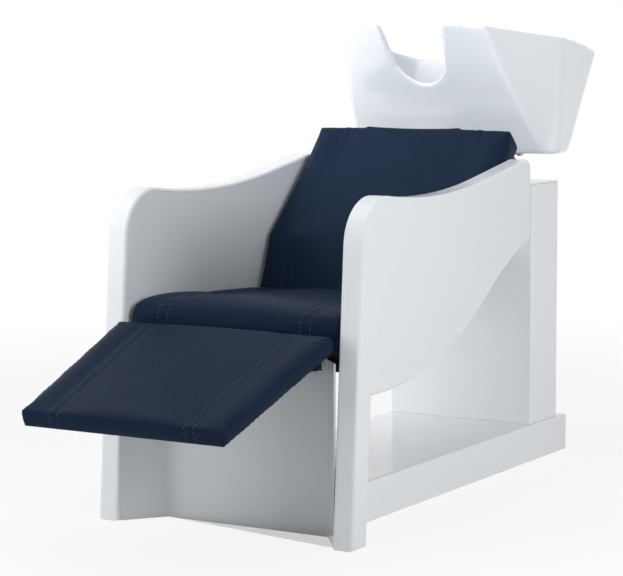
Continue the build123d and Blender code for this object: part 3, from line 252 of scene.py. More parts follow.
@dataclass(frozen=True)
class Finish:
    """A surface finish, from which one material is made."""

    name: str
    slot: Slot
    colour: Colour
    roughness: float
    metallic: float = 0.0
    coat: float = 0.0
    coat_roughness: float = 0.04
    specular: float = 0.5

    def look(self, graph: Graph, place: Sock) -> Look:
        """Varying part of the finish; a subclass paints it."""
        raise NotImplementedError

    def material(self) -> bpy.types.Material:
        """Material of this finish, made at its first use."""
        found = bpy.data.materials.get(self.name)
        if found:
            return found
        made = bpy.data.materials.new(self.name)
        made.use_nodes = True
        made.node_tree.nodes.clear()
        graph = Graph(made.node_tree)
        place = graph.out(graph.add("ShaderNodeTexCoord"), "Object")
        look = self.look(graph, place)
        inputs = {
            "Base Color": look.colour or (*self.colour, 1.0),
            "Roughness": look.roughness or self.roughness,
            "Metallic": self.metallic,
            "Coat Weight": self.coat,
            "Coat Roughness": self.coat_roughness,
            "Specular IOR Level": self.specular,
        }
        if look.height:
            bump = graph.add("ShaderNodeBump", inputs={"Height": look.height, "Distance": look.relief})
            inputs["Normal"] = graph.out(bump)
        shader = graph.add("ShaderNodeBsdfPrincipled", inputs=inputs)
        graph.add("ShaderNodeOutputMaterial", inputs={"Surface": graph.out(shader)})
        return made

    def dress(self, piece: bpy.types.Object) -> None:
        """Gives a piece this finish as its only material."""
        piece.data.materials.clear()
        piece.data.materials.append(self.material())


@dataclass(frozen=True)
class GelCoat(Finish):
    """Glossy white moulded shell, with a faint ripple and floor scuffs."""

    drift_scale: float = 3.0
    drift_share: float = 0.985
    haze_scale: float = 14.0
    haze_span: float = 0.06
    ripple_scale: float = 160.0
    ripple_relief: float = 0.00003
    scuff_height: float = 0.035
    scuff_scale: float = 60.0
    scuff_share: float = 0.35
    scuff_shade: float = 0.8
    scuff_roughness: float = 0.15

    def look(self, graph: Graph, place: Sock) -> Look:
        """Slow colour drift, haze and ripple, with scuffs near the floor."""
        drift = graph.noise(place, self.drift_scale)
        low = 1.0 - graph.axes(place)[2].step(0.0, self.scuff_height)
        scuff = low * graph.noise(place, self.scuff_scale).step(0.5, 0.75)
        clean = graph.mix(drift, tinted(self.colour, self.drift_share), self.colour)
        colour = graph.mix(scuff * self.scuff_share, clean, tinted(self.colour, self.scuff_shade))
        haze = graph.noise(place, self.haze_scale, detail=5.0)
        roughness = self.roughness + (haze - 0.5) * self.haze_span + scuff * self.scuff_roughness
        ripple = graph.noise(place, self.ripple_scale, detail=2.0)
        return Look(colour, roughness, ripple, self.ripple_relief)


@dataclass(frozen=True)
class Glaze(Finish):
    """Fired white glaze, slightly wavy, with very fine pinholes."""

    pool_scale: float = 6.0
    pool_share: float = 0.98
    wave_scale: float = 22.0
    relief: float = 0.00012
    pinhole_scale: float = 240.0
    pinhole_patch_scale: float = 31.0
    pinhole_roughness: float = 0.2
    pinhole_depth: float = 0.3

    def look(self, graph: Graph, place: Sock) -> Look:
        """Glaze that is a little thinner in places, with waves and rare pinholes."""
        pool = graph.noise(place, self.pool_scale, detail=2.0)
        colour = graph.mix(pool, tinted(self.colour, self.pool_share), self.colour)
        hole = 1.0 - graph.cells(place, self.pinhole_scale).step(0.04, 0.1)
        pinhole = hole * graph.noise(place, self.pinhole_patch_scale).step(0.66, 0.7)
        wave = graph.noise(place, self.wave_scale, detail=1.0)
        roughness = self.roughness + pinhole * self.pinhole_roughness
        return Look(colour, roughness, wave - pinhole * self.pinhole_depth, self.relief)


@dataclass(frozen=True)
class Leatherette(Finish):
    """Navy vinyl leather with a pebbled grain and fine creases."""

    grain_scale: float = 700.0
    valley_painted_shade: float = 0.72
    valley_depth: float = 0.7
    valley_roughness: float = 0.12
    crease_scale: float = 95.0
    crease_patch_scale: float = 40.0
    crease_depth: float = 0.5
    wear_scale: float = 5.0
    wear_share: float = 0.3
    wear_shade: float = 1.25
    wear_polish: float = 0.06
    relief: float = 0.00022

    def look(self, graph: Graph, place: Sock) -> Look:
        """Pebbles with painted shade in their valleys, soft creases and a hand-worn sheen."""
        patch = graph.noise(place, self.crease_patch_scale)
        valley = graph.cells(place, self.grain_scale, "SMOOTH_F1").step(0.35, 0.75)
        crease = graph.cells(place, self.crease_scale, "DISTANCE_TO_EDGE")
        creased = (1.0 - crease.step(0.0, 0.12)) * patch.step(0.52, 0.7)
        wear = graph.noise(place, self.wear_scale)
        # Painted shade: the grain's valleys are darkened in colour.
        grained = graph.mix(valley, self.colour, tinted(self.colour, self.valley_painted_shade))
        worn = wear.step(0.35, 0.65) * self.wear_share
        colour = graph.mix(worn, grained, tinted(self.colour, self.wear_shade))
        roughness = self.roughness + valley * self.valley_roughness - wear * self.wear_polish
        height = 1.0 - valley * self.valley_depth - creased * self.crease_depth
        return Look(colour, roughness, height, self.relief)


@dataclass(frozen=True)
class Thread(Finish):
    """Twisted sewing thread."""

    twist_scale: float = 1500.0
    twist_distortion: float = 0.5
    valley_painted_shade: float = 0.6
    strand_roughness: float = 0.1
    relief: float = 0.0001

    def look(self, graph: Graph, place: Sock) -> Look:
        """Slanted strands, with painted shade in the grooves between them and a painted highlight on their
        backs.
        """
        inputs = {"Vector": place, "Scale": self.twist_scale, "Distortion": self.twist_distortion}
        strand = graph.out(graph.add("ShaderNodeTexWave", {"bands_direction": "DIAGONAL"}, inputs), 1)
        # Painted shade and highlight: the colour follows the strands' relief, darker in the grooves and
        # lighter on the backs.
        colour = graph.mix(strand, tinted(self.colour, self.valley_painted_shade), self.colour)
        return Look(colour, self.roughness + strand * self.strand_roughness, strand, self.relief)


@dataclass(frozen=True)
class Plywood(Finish):
    """Plywood coloured near black as painted shade, with grain along Y and thin veneers."""

    veneer: float = 0.0015
    fibre_scale: float = 4.0
    fibre_stretch: Place = (90.0, 6.0, 90.0)
    fibre_share: float = 0.7
    band_share: float = 0.3
    dark_shade: float = 0.62
    fibre_roughness: float = 0.15
    relief: float = 0.0003

    def look(self, graph: Graph, place: Sock) -> Look:
        """Long fibres over layered veneers."""
        fibre = graph.noise(graph.stretched(place, self.fibre_stretch), self.fibre_scale, detail=6.0)
        layer = graph.axes(place)[2] / (2 * self.veneer)
        band = layer.math("PINGPONG", 0.5).step(0.2, 0.3)
        tone = fibre.step(0.3, 0.75)
        dark = tone * self.fibre_share + band * self.band_share
        colour = graph.mix(dark, self.colour, tinted(self.colour, self.dark_shade))
        return Look(colour, self.roughness + tone * self.fibre_roughness, fibre, self.relief)


@dataclass(frozen=True)
class PowderCoat(Finish):
    """Baked powder on steel, with an orange-peel surface."""

    peel_scale: float = 320.0
    relief: float = 0.00015
    dust_scale: float = 12.0
    dust_share: float = 0.25
    dust_shade: float = 1.9
    dust_roughness: float = 0.15

    def look(self, graph: Graph, place: Sock) -> Look:
        """Orange peel and a little dust."""
        peel = graph.noise(place, self.peel_scale, detail=2.0)
        dust = graph.noise(place, self.dust_scale).step(0.5, 0.8)
        colour = graph.mix(dust * self.dust_share, self.colour, tinted(self.colour, self.dust_shade))
        return Look(colour, self.roughness + dust * self.dust_roughness, peel, self.relief)


@dataclass(frozen=True)
class BareMetal(Finish):
    """Plated metal, from spangled zinc to mirror chrome."""

    spangle_scale: float = 260.0
    spangle_share: float = 0.2
    spangle_shade: float = 0.7
    spangle_roughness: float = 0.3
    smear_scale: float = 45.0
    smear_stretch: Place = (1.0, 1.0, 0.3)
    smear_share: float = 0.05
    relief: float = 0.00001

    def look(self, graph: Graph, place: Sock) -> Look:
        """Crystal spangles and wiped smears."""
        spangle = graph.cells(place, self.spangle_scale) * self.spangle_share
        smear = graph.noise(graph.stretched(place, self.smear_stretch), self.smear_scale, detail=5.0)
        colour = graph.mix(spangle, self.colour, tinted(self.colour, self.spangle_shade))
        roughness = self.roughness + spangle * self.spangle_roughness + smear * self.smear_share
        return Look(colour, roughness, smear, self.relief)


@dataclass(frozen=True)
class MouldedPlastic(Finish):
    """Fine-sparked moulded plastic."""

    spark_scale: float = 900.0
    spark_roughness: float = 0.1
    relief: float = 0.00008
    drift_scale: float = 9.0
    dark_shade: float = 0.88
    light_shade: float = 1.08

    def look(self, graph: Graph, place: Sock) -> Look:
        """Spark texture with a slow drift in colour."""
        spark = graph.noise(place, self.spark_scale, detail=1.0)
        drift = graph.noise(place, self.drift_scale)
        dark, light = tinted(self.colour, self.dark_shade), tinted(self.colour, self.light_shade)
        roughness = self.roughness + (spark - 0.5) * self.spark_roughness
        return Look(graph.mix(drift, dark, light), roughness, spark, self.relief)


SHELL_WHITE = GelCoat("gel_coat_white", Slot.SHELL, (0.785, 0.815, 0.845), 0.2, coat=0.3, specular=0.4)
# Painted light: the pedestal casings get a lighter copy of the shell's white, which stands in for the light
# that falls on them under the seat.
PEDESTAL_PAINTED_LIGHT = GelCoat("gel_coat_pedestal_painted_light", Slot.SHELL, (0.885, 0.912, 0.94), 0.2, coat=0.6)
# Painted shade: the front panel gets the white gel coat darkened to grey, which stands in for the shade under
# the legrest.
PANEL_PAINTED_SHADE = GelCoat("gel_coat_panel_painted_shade", Slot.SHELL, (0.57, 0.598, 0.625), 0.24, coat=0.4)
GLAZE_WHITE = Glaze("glaze_white", Slot.CERAMIC, (0.82, 0.868, 0.915), 0.1, coat=1.0)
NAVY = Leatherette("leatherette_navy", Slot.UPHOLSTERY, (0.0075, 0.0175, 0.04), 0.5, specular=0.05)
THREAD_BLUE = Thread("thread_blue", Slot.UPHOLSTERY, (0.1, 0.118, 0.2), 0.6, specular=0.1)
# Painted shade: the boards are coloured near black, so that where they show under the pads they read as the
# shade there.
PLY_PAINTED_SHADE = Plywood("plywood_painted_shade", Slot.PLYWOOD, (0.035, 0.031, 0.03), 0.6)
STEEL_BLACK = PowderCoat("powder_coat_black", Slot.STEEL, (0.022, 0.023, 0.025), 0.45)
ZINC = BareMetal("zinc_plate", Slot.ZINC, (0.62, 0.64, 0.66), 0.3, metallic=1.0)
CHROME = BareMetal("chrome_plate", Slot.CHROME, (0.82, 0.83, 0.84), 0.05, metallic=1.0, spangle_share=0.02)
PLASTIC_BLACK = MouldedPlastic("plastic_black", Slot.DARK, (0.02, 0.02, 0.022), 0.5)
PLASTIC_GREY = MouldedPlastic("plastic_grey", Slot.GREY, (0.3, 0.31, 0.32), 0.45)


def linked(name: str, mesh: bpy.types.Mesh) -> bpy.types.Object:
    """New object at the origin, linked to the scene."""
    made = bpy.data.objects.new(name, mesh)
    bpy.context.scene.collection.objects.link(made)
    return made


def merged_copy(node: str, name: str) -> bpy.types.Object:
    """Closed copy of a frame node, whose loose triangles are joined.

    Args:
        node: The frame node.
        name: The copy's name.

    Returns:
        The copy, at the node's place.
    """
    shape = bmesh.new()
    shape.from_mesh(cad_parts[node].data)
    bmesh.ops.remove_doubles(shape, verts=shape.verts, dist=MERGE_DISTANCE)
    bmesh.ops.dissolve_degenerate(shape, edges=shape.edges, dist=MERGE_DISTANCE)
    mesh = bpy.data.meshes.new(name)
    shape.to_mesh(mesh)
    shape.free()
    return linked(name, mesh)


def baked(piece: bpy.types.Object) -> bpy.types.Object:
    """Piece with its modifiers worked into its mesh."""
    graph = bpy.context.evaluated_depsgraph_get()
    mesh = bpy.data.meshes.new_from_object(piece.evaluated_get(graph))
    piece.modifiers.clear()
    piece.data = mesh
    return piece


def modify(piece: bpy.types.Object, kind: str, **settings: object) -> bpy.types.Modifier:
    """Adds a modifier with these settings."""
    made = piece.modifiers.new(kind.lower(), kind)
    for name, value in settings.items():
        setattr(made, name, value)
    return made


def mounted(piece: bpy.types.Object, finish: Finish, body: Body, *nodes: str) -> bpy.types.Object:
    """Dresses a piece, rides it on its body and lets it stand for its nodes.

    Args:
        piece: The finished piece.
        finish: Its finish.
        body: The body that it rides on.
        nodes: Frame nodes that it stands for.

    Returns:
        The same piece.
    """
    finish.dress(piece)
    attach(piece, body.value)
    if nodes:
        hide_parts(*nodes)
    log.info("%s: %d faces on %s", piece.name, len(piece.data.polygons), body.value)
    return piece


def softened(node: str, name: str, radius: float, segments: int = 3, limit: float = 35.0) -> bpy.types.Object:
    """Copy of a hard node whose edges are rounded and shaded smoothly.

    Args:
        node: The frame node.
        name: The copy's name.
        radius: Radius of the rounded edges.
        segments: Faces across a rounded edge.
        limit: Edges that turn by more degrees than this are rounded.

    Returns:
        The rounded copy.
    """
    piece = merged_copy(node, name)
    shape = bmesh.new()
    shape.from_mesh(piece.data)
    bmesh.ops.dissolve_limit(shape, angle_limit=FLAT_ANGLE, verts=shape.verts, edges=shape.edges)
    shape.to_mesh(piece.data)
    shape.free()
    for face in piece.data.polygons:
        face.use_smooth = True
    turn = math.radians(limit)
    modify(piece, "BEVEL", width=radius, segments=segments, limit_method="ANGLE", angle_limit=turn)
    modify(piece, "WEIGHTED_NORMAL", keep_sharp=True, weight=FLAT_FACE_WEIGHT)
    return baked(piece)


def chained(edges: set[bmesh.types.BMEdge]) -> list[bmesh.types.BMVert]:
    """Takes one run of joined edges out of a set.

    Args:
        edges: The edges, of which the one with the lowest index starts the run.

    Returns:
        The vertices along the run.
    """
    first = min(edges, key=lambda edge: edge.index)
    edges.discard(first)
    chain = [first.verts[0], first.verts[1]]
    while found := next((e for e in chain[-1].link_edges if e in edges), None):
        edges.discard(found)
        chain.append(found.other_vert(chain[-1]))
    return chain


def along(points: np.ndarray, pitch: float) -> np.ndarray:
    """Points evenly spaced on a polyline.

    Args:
        points: The polyline's points.
        pitch: Wanted distance between two points.

    Returns:
        The new points, ends included.
    """
    runs = np.linalg.norm(np.diff(points, axis=0), axis=1)
    far = np.concatenate(([0.0], np.cumsum(runs)))
    places = np.linspace(0.0, far[-1], max(2, round(far[-1] / pitch) + 1))
    return np.stack([np.interp(places, far, points[:, i]) for i in range(points.shape[1])], axis=1)


@dataclass
class GeometryTree:
    """A Geometry Nodes tree with named inputs, put on one piece and baked."""

    name: str
    sizes: dict[str, float]

    def __post_init__(self) -> None:
        """Makes the tree with its inputs and outputs."""
        self.tree = bpy.data.node_groups.new(self.name, "GeometryNodeTree")
        face = self.tree.interface
        face.new_socket("Geometry", in_out="INPUT", socket_type="NodeSocketGeometry")
        face.new_socket("Geometry", in_out="OUTPUT", socket_type="NodeSocketGeometry")
        self.keys = {}
        for size in self.sizes:
            socket = face.new_socket(size, in_out="INPUT", socket_type="NodeSocketFloat")
            self.keys[size] = socket.identifier
        self.graph = Graph(self.tree)
        self.source = self.graph.add("NodeGroupInput")

    def size(self, name: str) -> Sock:
        """Named size as a socket."""
        return self.graph.out(self.source, name)

    def geometry(self) -> Sock:
        """Geometry that the tree is given."""
        return self.graph.out(self.source, "Geometry")

    def outward(self) -> Sock:
        """Direction out of the surface that each point carries."""
        inputs = {"Name": "outward"}
        return self.node("GeometryNodeInputNamedAttribute", inputs, data_type="FLOAT_VECTOR")

    def node(self, kind: str, inputs: dict | None = None, **settings: object) -> Sock:
        """First output of a new node."""
        return self.graph.out(self.graph.add(kind, settings, inputs))

    def bake(self, piece: bpy.types.Object, copies: Sock, finish: Finish) -> bpy.types.Object:
        """Ends the tree and turns the piece into its result.

        Args:
            piece: The object that carries the points.
            copies: The instances.
            finish: The finish of the result.

        Returns:
            The piece, as a plain mesh.
        """
        solid = self.node("GeometryNodeRealizeInstances", {0: copies})
        smooth = self.node("GeometryNodeSetShadeSmooth", {"Geometry": solid})
        dressed = self.node("GeometryNodeSetMaterial", {"Geometry": smooth, "Material": finish.material()})
        self.graph.add("NodeGroupOutput", inputs={0: dressed})
        modifier = piece.modifiers.new(self.name, "NODES")
        modifier.node_group = self.tree
        for size, value in self.sizes.items():
            modifier[self.keys[size]] = value
        return baked(piece)


def outward_points(
    name: str, places: Sequence[Vector], outward: Sequence[Vector], lines: bool
) -> bpy.types.Object:
    """Object that carries points, each with the direction that points out of the surface.

    Args:
        name: The object's name.
        places: The points.
        outward: One direction for each point.
        lines: Whether each point is joined to the next one.

    Returns:
        The object, with an "outward" attribute.
    """
    mesh = bpy.data.meshes.new(name)
    joins = [(i, i + 1) for i in range(len(places) - 1)] if lines else []
    mesh.from_pydata([tuple(p) for p in places], joins, [])
    layer = mesh.attributes.new("outward", "FLOAT_VECTOR", "POINT")
    layer.data.foreach_set("vector", np.array([tuple(v) for v in outward], np.float32).ravel())
    return linked(name, mesh)


def joined(name: str, pieces: Sequence[bpy.types.Object]) -> bpy.types.Object:
    """One object from several meshes, which are removed."""
    shape = bmesh.new()
    for piece in pieces:
        shape.from_mesh(piece.data)
    mesh = bpy.data.meshes.new(name)
    shape.to_mesh(mesh)
    shape.free()
    for piece in pieces:
        bpy.data.objects.remove(piece)
    made = linked(name, mesh)
    for face in made.data.polygons:
        face.use_smooth = True
    return made


@dataclass
class Stitching:
    """Run of lockstitches along a line on a surface."""

    pitch: float = 0.0095
    stitch_length: float = 0.0068
    radius: float = 0.0007
    sides: int = 6
    rings: int = 4

    def sew(self, name: str, places: Sequence[Vector], outward: Sequence[Vector]) -> bpy.types.Object:
        """Sews one line.

        Args:
            name: The piece's name.
            places: Points of the line.
            outward: Directions out of the surface at the points.

        Returns:
            The stitches as a mesh.
        """
        sizes = {"Pitch": self.pitch, "Half Length": self.stitch_length / 2, "Radius": self.radius}
        tree = GeometryTree(name, sizes)
        curve = tree.node("GeometryNodeMeshToCurve", {"Mesh": tree.geometry()})
        spacing = {"Curve": curve, "Length": tree.size("Pitch")}
        even = tree.node("GeometryNodeResampleCurve", spacing, mode="LENGTH")
        facets = {"Segments": self.sides, "Rings": self.rings, "Radius": 1.0}
        bead = tree.node("GeometryNodeMeshUVSphere", facets)
        bead_size = tree.node(
            "ShaderNodeCombineXYZ",
            {0: tree.size("Half Length"), 1: tree.size("Radius"), 2: tree.size("Radius")},
        )
        stitch = tree.node("GeometryNodeTransform", {"Geometry": bead, "Scale": bead_size})
        tangent = tree.node("GeometryNodeInputTangent")
        turned = tree.node("FunctionNodeAlignRotationToVector", {"Vector": tangent}, axis="X")
        upright = tree.node(
            "FunctionNodeAlignRotationToVector",
            {"Rotation": turned, "Vector": tree.outward()},
            axis="Z",
            pivot_axis="X",
        )
        copies = tree.node(
            "GeometryNodeInstanceOnPoints",
            {"Points": even, "Instance": stitch, "Rotation": upright},
        )
        return tree.bake(outward_points(name, places, outward, True), copies, THREAD_BLUE)


@dataclass
class ScrewHeads:
    """Pan-head screws with a cross recess, in place of a node's plain ones."""

    node: str
    body: Body
    side_faces: int = 28
    recess_width_share: float = 0.24
    recess_length_share: float = 1.1
    recess_depth_share: float = 0.6
    crown_share: float = 0.72
    head_edge_share: float = 0.98
    sharp_turn: float = math.radians(35)

    def _solids(self) -> list[np.ndarray]:
        """Corner points of each screw of the node."""
        shape = bmesh.new()
        shape.from_mesh(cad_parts[self.node].data)
        bmesh.ops.remove_doubles(shape, verts=shape.verts, dist=MERGE_DISTANCE)
        left = set(shape.verts)
        solids = []
        while left:
            found = [left.pop()]
            for vert in found:
                near = {e.other_vert(vert) for e in vert.link_edges} & left
                left -= near
                found.extend(near)
            solids.append(np.array(sorted(v.co[:] for v in found)))
        shape.free()
        return sorted(solids, key=lambda s: tuple(np.round(s.mean(axis=0), 4)))

    def _measure(self, points: np.ndarray) -> dict[str, object]:
        """Seat, direction and sizes of one screw."""
        centre = points.mean(axis=0)
        axis = np.linalg.svd(points - centre)[2][0]
        run = (points - centre) @ axis
        wide = np.linalg.norm(points - centre - np.outer(run, axis), axis=1)
        if wide[run > run.max() - MERGE_DISTANCE].max() < wide[run < run.min() + MERGE_DISTANCE].max():
            axis, run = -axis, -run
        head = wide > wide.max() * self.head_edge_share
        return {
            "seat": Vector(centre + axis * run[head].min()),
            "axis": Vector(axis),
            "radius": float(wide.max()),
            "height": float(run.max() - run[head].min()),
            "shank": float(run[head].min() - run.min()),
            "shank_radius": float(np.median(wide[run < run.min() + MERGE_DISTANCE])),
        }

    def build(self) -> bpy.types.Object:
        """Builds the screws and rides them on their body."""
        measured = [self._measure(points) for points in self._solids()]
        first = measured[0]
        sizes = {k.title(): first[k] for k in ("radius", "height", "shank", "shank_radius")}
        tree = GeometryTree(self.node + "_heads", sizes)
        radius, height = tree.size("Radius"), tree.size("Height")
        head = tree.node(
            "GeometryNodeMeshCone",
            {"Vertices": self.side_faces, "Side Segments": 1, "Radius Bottom": radius,
             "Radius Top": radius * self.crown_share, "Depth": height},
        )
        bar = tree.node(
            "ShaderNodeCombineXYZ",
            {0: radius * self.recess_length_share, 1: radius * self.recess_width_share,
             2: height * (2 * self.recess_depth_share)},
        )
        raised = tree.node("ShaderNodeCombineXYZ", {2: height})
        slot = tree.node("GeometryNodeMeshCube", {"Size": bar})
        lifted = tree.node("GeometryNodeTransform", {"Geometry": slot, "Translation": raised})
        quarter_turn = {"Geometry": lifted, "Rotation": (0.0, 0.0, math.pi / 2)}
        crossed = tree.node("GeometryNodeTransform", quarter_turn)
        cut = self._recessed(tree, head, lifted, crossed)
        down = tree.node("ShaderNodeCombineXYZ", {2: tree.size("Shank") * -0.5})
        shank = tree.node(
            "GeometryNodeMeshCylinder",
            {"Vertices": self.side_faces // 2, "Radius": tree.size("Shank_Radius"),
             "Depth": tree.size("Shank")},
        )
        lowered = tree.node("GeometryNodeTransform", {"Geometry": shank, "Translation": down})
        whole = tree.graph.add("GeometryNodeJoinGeometry")
        for part in (cut, lowered):
            tree.tree.links.new(part.socket, whole.inputs[0])
        turned = tree.node("FunctionNodeAlignRotationToVector", {"Vector": tree.outward()}, axis="Z")
        copies = tree.node(
            "GeometryNodeInstanceOnPoints",
            {"Points": tree.geometry(), "Instance": tree.graph.out(whole), "Rotation": turned},
        )
        seats, axes = [m["seat"] for m in measured], [m["axis"] for m in measured]
        piece = tree.bake(outward_points(self.node + "_cross", seats, axes, False), copies, ZINC)
        piece.data.set_sharp_from_angle(angle=self.sharp_turn)
        return mounted(piece, ZINC, self.body, self.node)

    @staticmethod
    def _recessed(tree: GeometryTree, head: Sock, *tools: Sock) -> Sock:
        """Head with the recess tools cut out of it."""
        node = tree.graph.add("GeometryNodeMeshBoolean", {"operation": "DIFFERENCE"}, {0: head})
        for tool in tools:
            tree.tree.links.new(tool.socket, node.inputs[1])
        return tree.graph.out(node)


@dataclass(frozen=True)
class SeamPlane:
    """Plane that a line of stitches lies in."""

    point: Vector
    normal: Vector

    def distance(self, places: np.ndarray) -> np.ndarray:
        """Distance of each place from the plane."""
        return np.abs((places - np.array(self.point)) @ np.array(self.normal))


@dataclass
class Pad:
    """One upholstered pad, swollen as cloth over its foam and sewn with twin seams."""

    node: str
    body: Body
    shown: Vector
    seams: list[SeamPlane]
    low_swell: Place = (0.003, 0.003, 0.002)
    high_swell: Place = (0.003, 0.003, 0.003)
    fill: float = 0.85
    voxel: float = 0.005
    voxel_smoothing: int = 2
    shrink: float = 0.0025
    pressure: float = 4.0
    cloth_quality: int = 6
    cloth_mass: float = 0.3
    cloth_stretch: float = 18.0
    cloth_bending: float = 0.8
    frames: int = 20
    cap: float = 0.005
    pin_reach: float = 0.0035
    rested_facing: float = -0.5
    groove_depth: float = 0.0011
    groove_width: float = 0.0028
    thread_lift: float = 0.0002
    shown_share: float = 0.12
    line_pitch: float = 0.004

    def build(self) -> bpy.types.Object:
        """Builds the pad and its stitches.

        Returns:
            The pad.
        """
        pad = merged_copy(self.node, self.node.replace("cushion", "pad"))
        modify(pad, "REMESH", mode="VOXEL", voxel_size=self.voxel)
        modify(pad, "SMOOTH", factor=SMOOTH_FACTOR, iterations=self.voxel_smoothing)
        baked(pad)
        self._swell(pad)
        modify(pad, "SUBSURF", levels=1, render_levels=1)
        baked(pad)
        self._fit(pad)
        self._groove(pad)
        for face in pad.data.polygons:
            face.use_smooth = True
        mounted(pad, NAVY, self.body, self.node)
        self._sew(pad)
        return pad

    @staticmethod
    def _arrays(mesh: bpy.types.Mesh) -> tuple[np.ndarray, np.ndarray]:
        """Places and normals of a mesh's vertices."""
        count = len(mesh.vertices)
        places, normals = np.zeros(count * 3), np.zeros(count * 3)
        mesh.vertices.foreach_get("co", places)
        mesh.vertices.foreach_get("normal", normals)
        return places.reshape(-1, 3), normals.reshape(-1, 3)

    @staticmethod
    def _write(mesh: bpy.types.Mesh, places: np.ndarray) -> None:
        """Moves a mesh's vertices."""
        mesh.vertices.foreach_set("co", places.astype(np.float32).ravel())
        mesh.update()

    def _seam_distance(self, places: np.ndarray) -> np.ndarray:
        """Distance of each place from its nearest seam."""
        return np.min([seam.distance(places) for seam in self.seams], axis=0)

    def _swell(self, pad: bpy.types.Object) -> None:
        """Swells the cover under pressure, held along its seams and where it rests."""
        rest, normals = self._arrays(pad.data)
        start = rest - normals * self.shrink
        self._write(pad.data, start)
        facing = normals @ np.array(self.shown)
        held = (self._seam_distance(start) < self.pin_reach) | (facing < self.rested_facing)
        group = pad.vertex_groups.new(name="held")
        group.add([int(i) for i in np.flatnonzero(held)], 1.0, "REPLACE")
        cloth = modify(pad, "CLOTH")
        settings = cloth.settings
        settings.quality = self.cloth_quality
        settings.mass = self.cloth_mass
        settings.tension_stiffness = self.cloth_stretch
        settings.compression_stiffness = self.cloth_stretch
        settings.bending_stiffness = self.cloth_bending
        settings.use_pressure = True
        settings.uniform_pressure_force = self.pressure
        settings.vertex_group_mass = group.name
        settings.effector_weights.gravity = 0.0
        cloth.point_cache.frame_end = self.frames
        scene = bpy.context.scene
        for number in range(1, self.frames + 1):
            scene.frame_set(number)
        graph = bpy.context.evaluated_depsgraph_get()
        swollen, _ = self._arrays(pad.evaluated_get(graph).to_mesh())
        pad.modifiers.clear()
        scene.frame_set(1)
        move = swollen - start
        reach = np.linalg.norm(move, axis=1, keepdims=True)
        move *= np.minimum(1.0, self.cap / np.maximum(reach, TINY))
        self._write(pad.data, start + move)

    def _fit(self, pad: bpy.types.Object) -> None:
        """Stretches the cover back over the foam, which swells a little past the frame's plain pad."""
        places, _ = self._arrays(pad.data)
        low, high = (np.array(corner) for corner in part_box(self.node))
        low, high = low - np.array(self.low_swell), high + np.array(self.high_swell)
        span = places.max(axis=0) - places.min(axis=0)
        share = (places - places.min(axis=0)) / span
        log.info("%s: cover stretched by %s mm", pad.name, np.round((high - low - span) / MM, 1))
        self._write(pad.data, low + share * (high - low))

    def _groove(self, pad: bpy.types.Object) -> None:
        """Draws the cover in along each seam."""
        places, normals = self._arrays(pad.data)
        depth = self.groove_depth * np.exp(-((self._seam_distance(places) / self.groove_width) ** 2))
        depth *= normals @ np.array(self.shown) > -self.shown_share
        self._write(pad.data, places - normals * depth[:, None])

    def _section(self, pad: bpy.types.Object, seam: SeamPlane) -> np.ndarray:
        """Closed outline where a seam's plane cuts the pad."""
        shape = bmesh.new()
        shape.from_mesh(pad.data)
        everything = [*shape.verts, *shape.edges, *shape.faces]
        plane = {"plane_co": seam.point, "plane_no": seam.normal}
        cut = bmesh.ops.bisect_plane(shape, geom=everything, **plane)
        edges = {e for e in cut["geom_cut"] if isinstance(e, bmesh.types.BMEdge)}
        shape.edges.index_update()
        loops = []
        while edges:
            loops.append(np.array([v.co[:] for v in chained(edges)]))
        shape.free()
        return max(loops, key=len)

    def _sew(self, pad: bpy.types.Object) -> None:
        """Sews a line of stitches along each seam, where the pad shows it."""
        shape = bmesh.new()
        shape.from_mesh(pad.data)
        surface = BVHTree.FromBMesh(shape)
        shape.free()
        lines = []
        for number, seam in enumerate(self.seams):
            outline = along(self._section(pad, seam), self.line_pitch)[:-1]
            near = [surface.find_nearest(Vector(p)) for p in outline]
            shown = [n[1].dot(self.shown) > -self.shown_share for n in near]
            first = next(i for i in range(len(shown)) if shown[i] and not shown[i - 1])
            order = [(first + i) % len(shown) for i in range(len(shown))]
            run = []
            for i in order:
                if not shown[i]:
                    break
                run.append(i)
            outward = [near[i][1] for i in run]
            places = [Vector(outline[i]) + near[i][1] * self.thread_lift for i in run]
            lines.append(Stitching().sew(f"{pad.name}_line_{number}", places, outward))
        mounted(joined(f"{pad.name}_stitches", lines), THREAD_BLUE, self.body)


